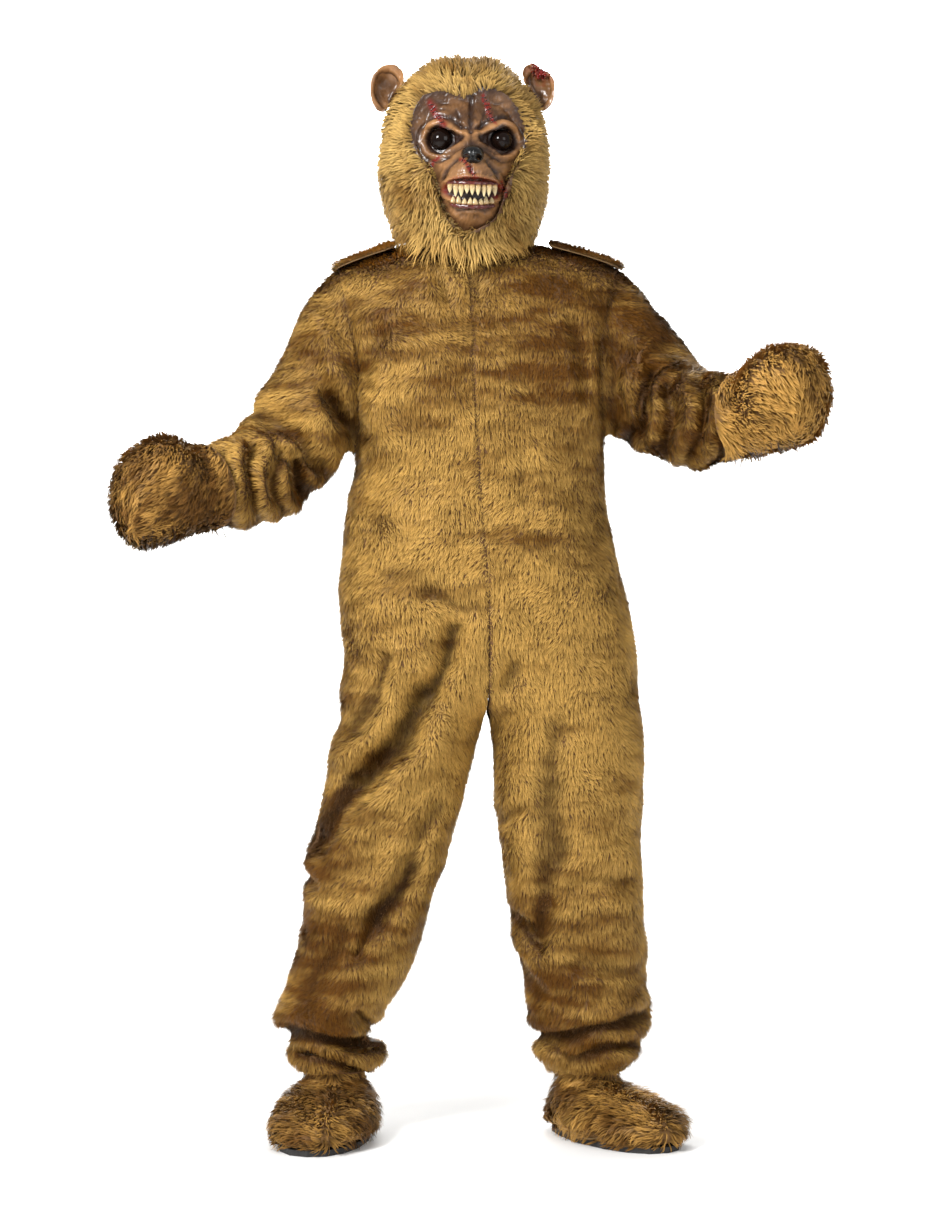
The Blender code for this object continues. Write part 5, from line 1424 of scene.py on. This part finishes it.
eye_look = plain_material(
    "eye gloss", (0.003, 0.002, 0.002), 0.08, Specular_IOR_Level=0.06, Coat_Weight=0.25, Coat_Roughness=0.02
)
mottled(eye_look, (0.002, 0.001, 0.001), (0.011, 0.005, 0.003), 90.0)
nose_look = painted_material("nose gloss", 0.24, 0.20, 0.4, 700.0)
for side in SIDES:
    polar_cap("eyeball_" + side, "eye_" + side, eye_look, 40, 14, eye_shape, "eye_gloss")
snout = polar_cap("snout_nose", "nose", nose_look, 64, 26, nose_shape, "nose_gloss")
painted(snout, np.full((len(snout.data.vertices), 3), 0.004))
print("two eyes, and a nose of", len(snout.data.vertices), "points")

# %% [markdown]
# ## Teeth
# The grin shows pointed ivory teeth in dark gums, each tooth a little different. A tooth is a short tapering
# tube that bends inwards, and the gum is a strip swept along the jaw. All of a jaw is one mesh, because it
# is one casting in the real mask.

# %% Cut the teeth
IVORY = np.array((0.62, 0.50, 0.27))
STAINED = np.array((0.30, 0.17, 0.06))
GUM = np.array((0.085, 0.016, 0.012))
Jaw = namedtuple("Jaw", "gum_h root_h sag half teeth way long seed")
JAWS = {
    "teeth_upper": Jaw(1.5650, 1.5625, -0.004, 0.042, 9, -1, 0.0185, 5),
    "teeth_lower": Jaw(1.5315, 1.5345, -0.006, 0.037, 8, 1, 0.0130, 8),
}
TOOTH_SIDES = 10
GUM_STEPS = 28
Made = namedtuple("Made", "points faces colours")
TOOTH_ROWS = ((0.0, 1.0), (0.25, 1.08), (0.55, 0.82), (0.82, 0.42), (1.0, 0.06))


def jaw_front(node, x):
    """How far forward a jaw's node stands at x, as the least y of its points near there."""
    near = [v.co.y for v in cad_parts[node].data.vertices if abs(v.co.x - x) < 0.004]
    return min(near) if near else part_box(node)[0][1]


def turns_of(sides):
    """Evenly spread angles once round."""
    return np.linspace(0, 2 * math.pi, sides, endpoint=False)


def tube(made, rings, shades):
    """Adds a closed tube through these rings, each in its own shade, to a Made."""
    sides, base = len(rings[0]), len(made.points)
    for ring, shade in zip(rings, shades):
        made.points.extend(ring)
        made.colours.extend([shade] * sides)
    for row in range(len(rings) - 1):
        for turn in range(sides):
            a = base + row * sides + turn
            b = base + row * sides + (turn + 1) % sides
            made.faces.append((a, b, b + sides, a + sides))
    made.faces.append(tuple(range(base, base + sides))[::-1])
    made.faces.append(tuple(range(len(made.points) - sides, len(made.points))))


def painted_object(name, made, look):
    """An object from the points, faces and colours of a Made."""
    return painted(new_object(name, made.points, made.faces, look), np.array(made.colours))


def build_jaw(node, jaw):
    """The gum and teeth of one jaw."""
    draw = np.random.default_rng(jaw.seed)
    made = Made([], [], [])
    middle = FACE_X + 0.002
    gum_rings = []
    for step in range(GUM_STEPS + 1):
        share = 2 * step / GUM_STEPS - 1
        x = middle + jaw.half * share
        h = jaw.gum_h + jaw.sag * (1 - share**2) + 0.0007 * math.sin(step * 1.7)
        y = jaw_front(node, x) + 0.0022
        thick = 0.0036 * (1 - 0.5 * share**4)
        gum_rings.append([
            (x, y - 0.5 * thick * math.cos(a), h + FLOOR + thick * math.sin(a))
            for a in turns_of(TOOTH_SIDES)
        ])
    tube(made, gum_rings, [GUM * draw.uniform(0.7, 1.3) for _ in gum_rings])
    for number in range(jaw.teeth):
        share = (2 * number + 1) / jaw.teeth - 1
        x = middle + jaw.half * share * 0.95
        fang = 1.15 if abs(abs(share) - 0.55) < 0.15 else 0.88
        long = jaw.long * fang * draw.uniform(0.85, 1.1)
        wide = jaw.half / jaw.teeth * 0.96 * draw.uniform(0.9, 1.05)
        lean = draw.uniform(-0.0012, 0.0012)
        root = jaw.root_h + jaw.sag * (1 - share**2)
        y = jaw_front(node, x) + 0.0014
        rings, shades = [], []
        for along, size in TOOTH_ROWS:
            rings.append([
                (
                    x + lean * along + wide * size * math.cos(a),
                    y + 0.0016 * along**2 - 0.0021 * size * math.sin(a),
                    root + FLOOR + jaw.way * long * along,
                )
                for a in turns_of(TOOTH_SIDES)
            ])
            shades.append(STAINED * (1 - along) ** 2 + IVORY * (1 - (1 - along) ** 2))
        tube(made, rings, shades)
    cast = facing_out(painted_object("jaw_" + node, made, tooth_look))
    print(f"{node}: {jaw.teeth} teeth")
    return dress(cast, "tooth", node)


tooth_look = painted_material("cast teeth", 0.28, 0.35, 0.15, 900.0)
for node, jaw in JAWS.items():
    build_jaw(node, jaw)

# %% [markdown]
# ## Stitches and blood
# The face is cut and sewn up again: dark thread crosses each cut, and painted blood stands in drops along it.
# A stitch is a short bent tube laid on the face by a ray from the front, and a drop is a flattened dome. Real
# geometry catches the light here, which a painted line wouldn't.

# %% Sew the cuts
THREAD = np.array((0.020, 0.008, 0.006))
STITCH_SIDES = 6
STITCH_STEP = 0.0075
DROP_SIDES = 7
DROP_STEP = 0.0016


def drop(made, place, normal, size, draw):
    """Adds a flattened dome of blood on a surface to a Made."""
    side = normal.cross(Vector((0, 0, 1))).normalized()
    up = side.cross(normal)
    base = len(made.points)
    made.points.append(place + normal * size * 0.6)
    for reach, out in ((0.6, 0.42), (1.0, -0.15)):
        for a in turns_of(DROP_SIDES):
            away = (side * math.cos(a) + up * math.sin(a)) * size * reach
            made.points.append(place + away + normal * size * out)
    made.colours.extend([BLOOD * draw.uniform(0.6, 1.7)] * (2 * DROP_SIDES + 1))
    for turn in range(DROP_SIDES):
        a, b = base + 1 + turn, base + 1 + (turn + 1) % DROP_SIDES
        made.faces.extend([(base, a, b), (a, a + DROP_SIDES, b + DROP_SIDES, b)])
    made.faces.append(tuple(range(base + 1 + DROP_SIDES, base + 1 + 2 * DROP_SIDES))[::-1])


def sewing(name, scars, seed):
    """Stitches over the cuts and drops of blood beside them, as one mesh."""
    draw = np.random.default_rng(seed)
    made = Made([], [], [])
    for scar in scars:
        along = np.array((scar.x1 - scar.x0, scar.h1 - scar.h0))
        long = float(np.hypot(*along))
        across = np.array((-along[1], along[0])) / long
        for step in np.arange(0.004, long - 0.002, STITCH_STEP):
            middle = np.array((scar.x0, scar.h0)) + along * step / long
            half = draw.uniform(0.0038, 0.0058)
            slant = along / long * draw.uniform(-0.002, 0.002)
            rings = []
            for share in np.linspace(-1, 1, 7):
                x, h = middle + (across * half + slant) * share
                place, normal = on_face(x, h)
                place = place + normal * (0.0011 * (1 - share**4) - 0.0004)
                side = normal.cross(Vector((across[0], 0, across[1]))).normalized()
                thick = 0.00075 * (1 - 0.4 * share**4)
                rings.append([
                    place + (side * math.cos(a) + normal * math.sin(a)) * thick
                    for a in turns_of(STITCH_SIDES)
                ])
            tube(made, rings, [THREAD] * len(rings))
        for _ in range(int(long / DROP_STEP)):
            spot = np.array((scar.x0, scar.h0)) + along * draw.uniform() + across * draw.normal(0, 0.0026)
            drop(made, *on_face(*spot), draw.uniform(0.0006, 0.0017), draw)
    return dress(painted_object(name, made, blood_look), "latex")


blood_look = painted_material("thread and blood", 0.22, 0.6)
stitches = sewing("cuts_and_stitches", SCARS, 91)
print("stitches and drops have", len(stitches.data.polygons), "faces")

# %% [markdown]
# ## Ears
# The ears are thick cast latex cups. The frame's solid is subdivided as a whole, so that its rim rounds, and
# painted: darker inside the cup, which is painted shade in its hollow. The left one is torn at the top, with
# blood along the tear.

# %% Cast the ears
TEAR_SPOT = np.array((0.118, -0.012, 1.776 + FLOOR))
WOUND_DROPS = 110


def whole_skin(node, levels):
    """All of a node's surface as a smooth skin."""
    bm = bmesh.new()
    bm.from_mesh(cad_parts[node].data)
    bmesh.ops.remove_doubles(bm, verts=bm.verts, dist=WELD)
    in_fours(bm)
    mesh = bpy.data.meshes.new("whole")
    bm.to_mesh(mesh)
    bm.free()
    return subdivided(mesh, levels)


for side in SIDES:
    node = "ear_" + side
    low, high = (np.array(v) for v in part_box(node))
    skin = whole_skin(node, 3)
    middle, half = (low + high) / 2, (high - low) / 2
    out = np.hypot((skin.points[:, 0] - middle[0]) / half[0], (skin.points[:, 2] - middle[2]) / half[2])
    front = skin.normals[:, 1] < 0
    wrinkle = 0.0007 * waves(skin.points, 0.012, 61) + 0.0004 * waves(skin.points, 0.005, 62)
    near = np.linalg.norm(skin.points - TEAR_SPOT, axis=1)
    if side == "left":
        wrinkle = wrinkle - 0.0050 * np.abs(waves(skin.points, 0.006, 67)) * ease(near, 0.028, 0.012)
    cup = 0.0022 * np.exp(-(((out - 0.84) / 0.09) ** 2)) - 0.0085 * ease(out, 0.74, 0.52)
    wrinkle = wrinkle + cup * front
    skin = with_normals(skin.points + skin.normals * wrinkle[:, None], skin.faces)
    ridge = np.clip(0.30 + 0.5 * ease(out, 0.55, 0.95) + 0.3 * waves(skin.points, 0.02, 63), 0, 1)[:, None]
    colour = LATEX_BROWN * (1 - ridge) + LATEX_TAN * ridge
    # Inside the cup the colour turns nearly black: painted shade in the hollow.
    deep = 0.95 * ease(out, 0.82, 0.62) * (0.85 + 0.2 * waves(skin.points, 0.02, 65)) * front
    deep = np.clip(deep, 0, 0.95)[:, None]
    colour = colour * (1 - deep) + LATEX_DARK * deep
    if side == "left":
        blood = np.clip(1.15 * np.exp(-((near / 0.017) ** 2)) + 0.2 * waves(skin.points, 0.008, 64), 0, 1)
        blood = (blood * (near < 0.032))[:, None]
        colour = colour * (1 - blood) + BLOOD * blood
    ear = painted(new_object("cast_ear_" + side, skin.points, skin.faces, latex_look), colour)
    dress(ear, "latex", node)
    if side == "left":
        draw = np.random.default_rng(66)
        wound = Made([], [], [])
        for index in draw.choice(np.flatnonzero(near < 0.020), WOUND_DROPS):
            place, normal = Vector(skin.points[index]), Vector(skin.normals[index])
            drop(wound, place, normal, draw.uniform(0.0008, 0.0024), draw)
        dress(painted_object("ear_wound", wound, blood_look), "latex")
print("two ears, the left one torn, with", WOUND_DROPS, "drops of blood")

# %% [markdown]
# ## Soles
# Thin black rubber soles lie under the boot covers. They keep the frame's own shape, because rubber is stiff,
# and get a fine pebbled surface.

# %% Give the soles their rubber
sole_look = plain_material("sole rubber", (0.020, 0.018, 0.017), 0.7)
mottled(sole_look, (0.012, 0.011, 0.010), (0.032, 0.029, 0.027), 60.0)
sole_nodes, sole_links = sole_look.node_tree.nodes, sole_look.node_tree.links
sole_place = sole_nodes.new("ShaderNodeTexCoord")
pebbles = sole_nodes.new("ShaderNodeTexVoronoi")
pebbles.inputs["Scale"].default_value = 260.0
pebble_bump = sole_nodes.new("ShaderNodeBump")
pebble_bump.inputs["Strength"].default_value = 0.5
pebble_bump.inputs["Distance"].default_value = 0.0008
sole_links.new(sole_place.outputs["Object"], pebbles.inputs["Vector"])
sole_links.new(pebbles.outputs["Distance"], pebble_bump.inputs["Height"])
sole_links.new(pebble_bump.outputs["Normal"], sole_nodes["Principled BSDF"].inputs["Normal"])
for side in SIDES:
    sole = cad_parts["sole_" + side]
    sole.data.materials.clear()
    sole.data.materials.append(sole_look)
print("the soles are of", sole_look.name)

# %% [markdown]
# ## The cut of each cloth
# Every cloth piece states the size it was cut to, in metres. A panel's cut is about as large as its skin,
# because plush is sewn in the round and hardly stretches.

# %% State the cuts
Cut = namedtuple("Cut", "width length area held rests_on")
for node, (cloth, standing) in cloths.items():
    kind, _, side = node.rpartition("_")
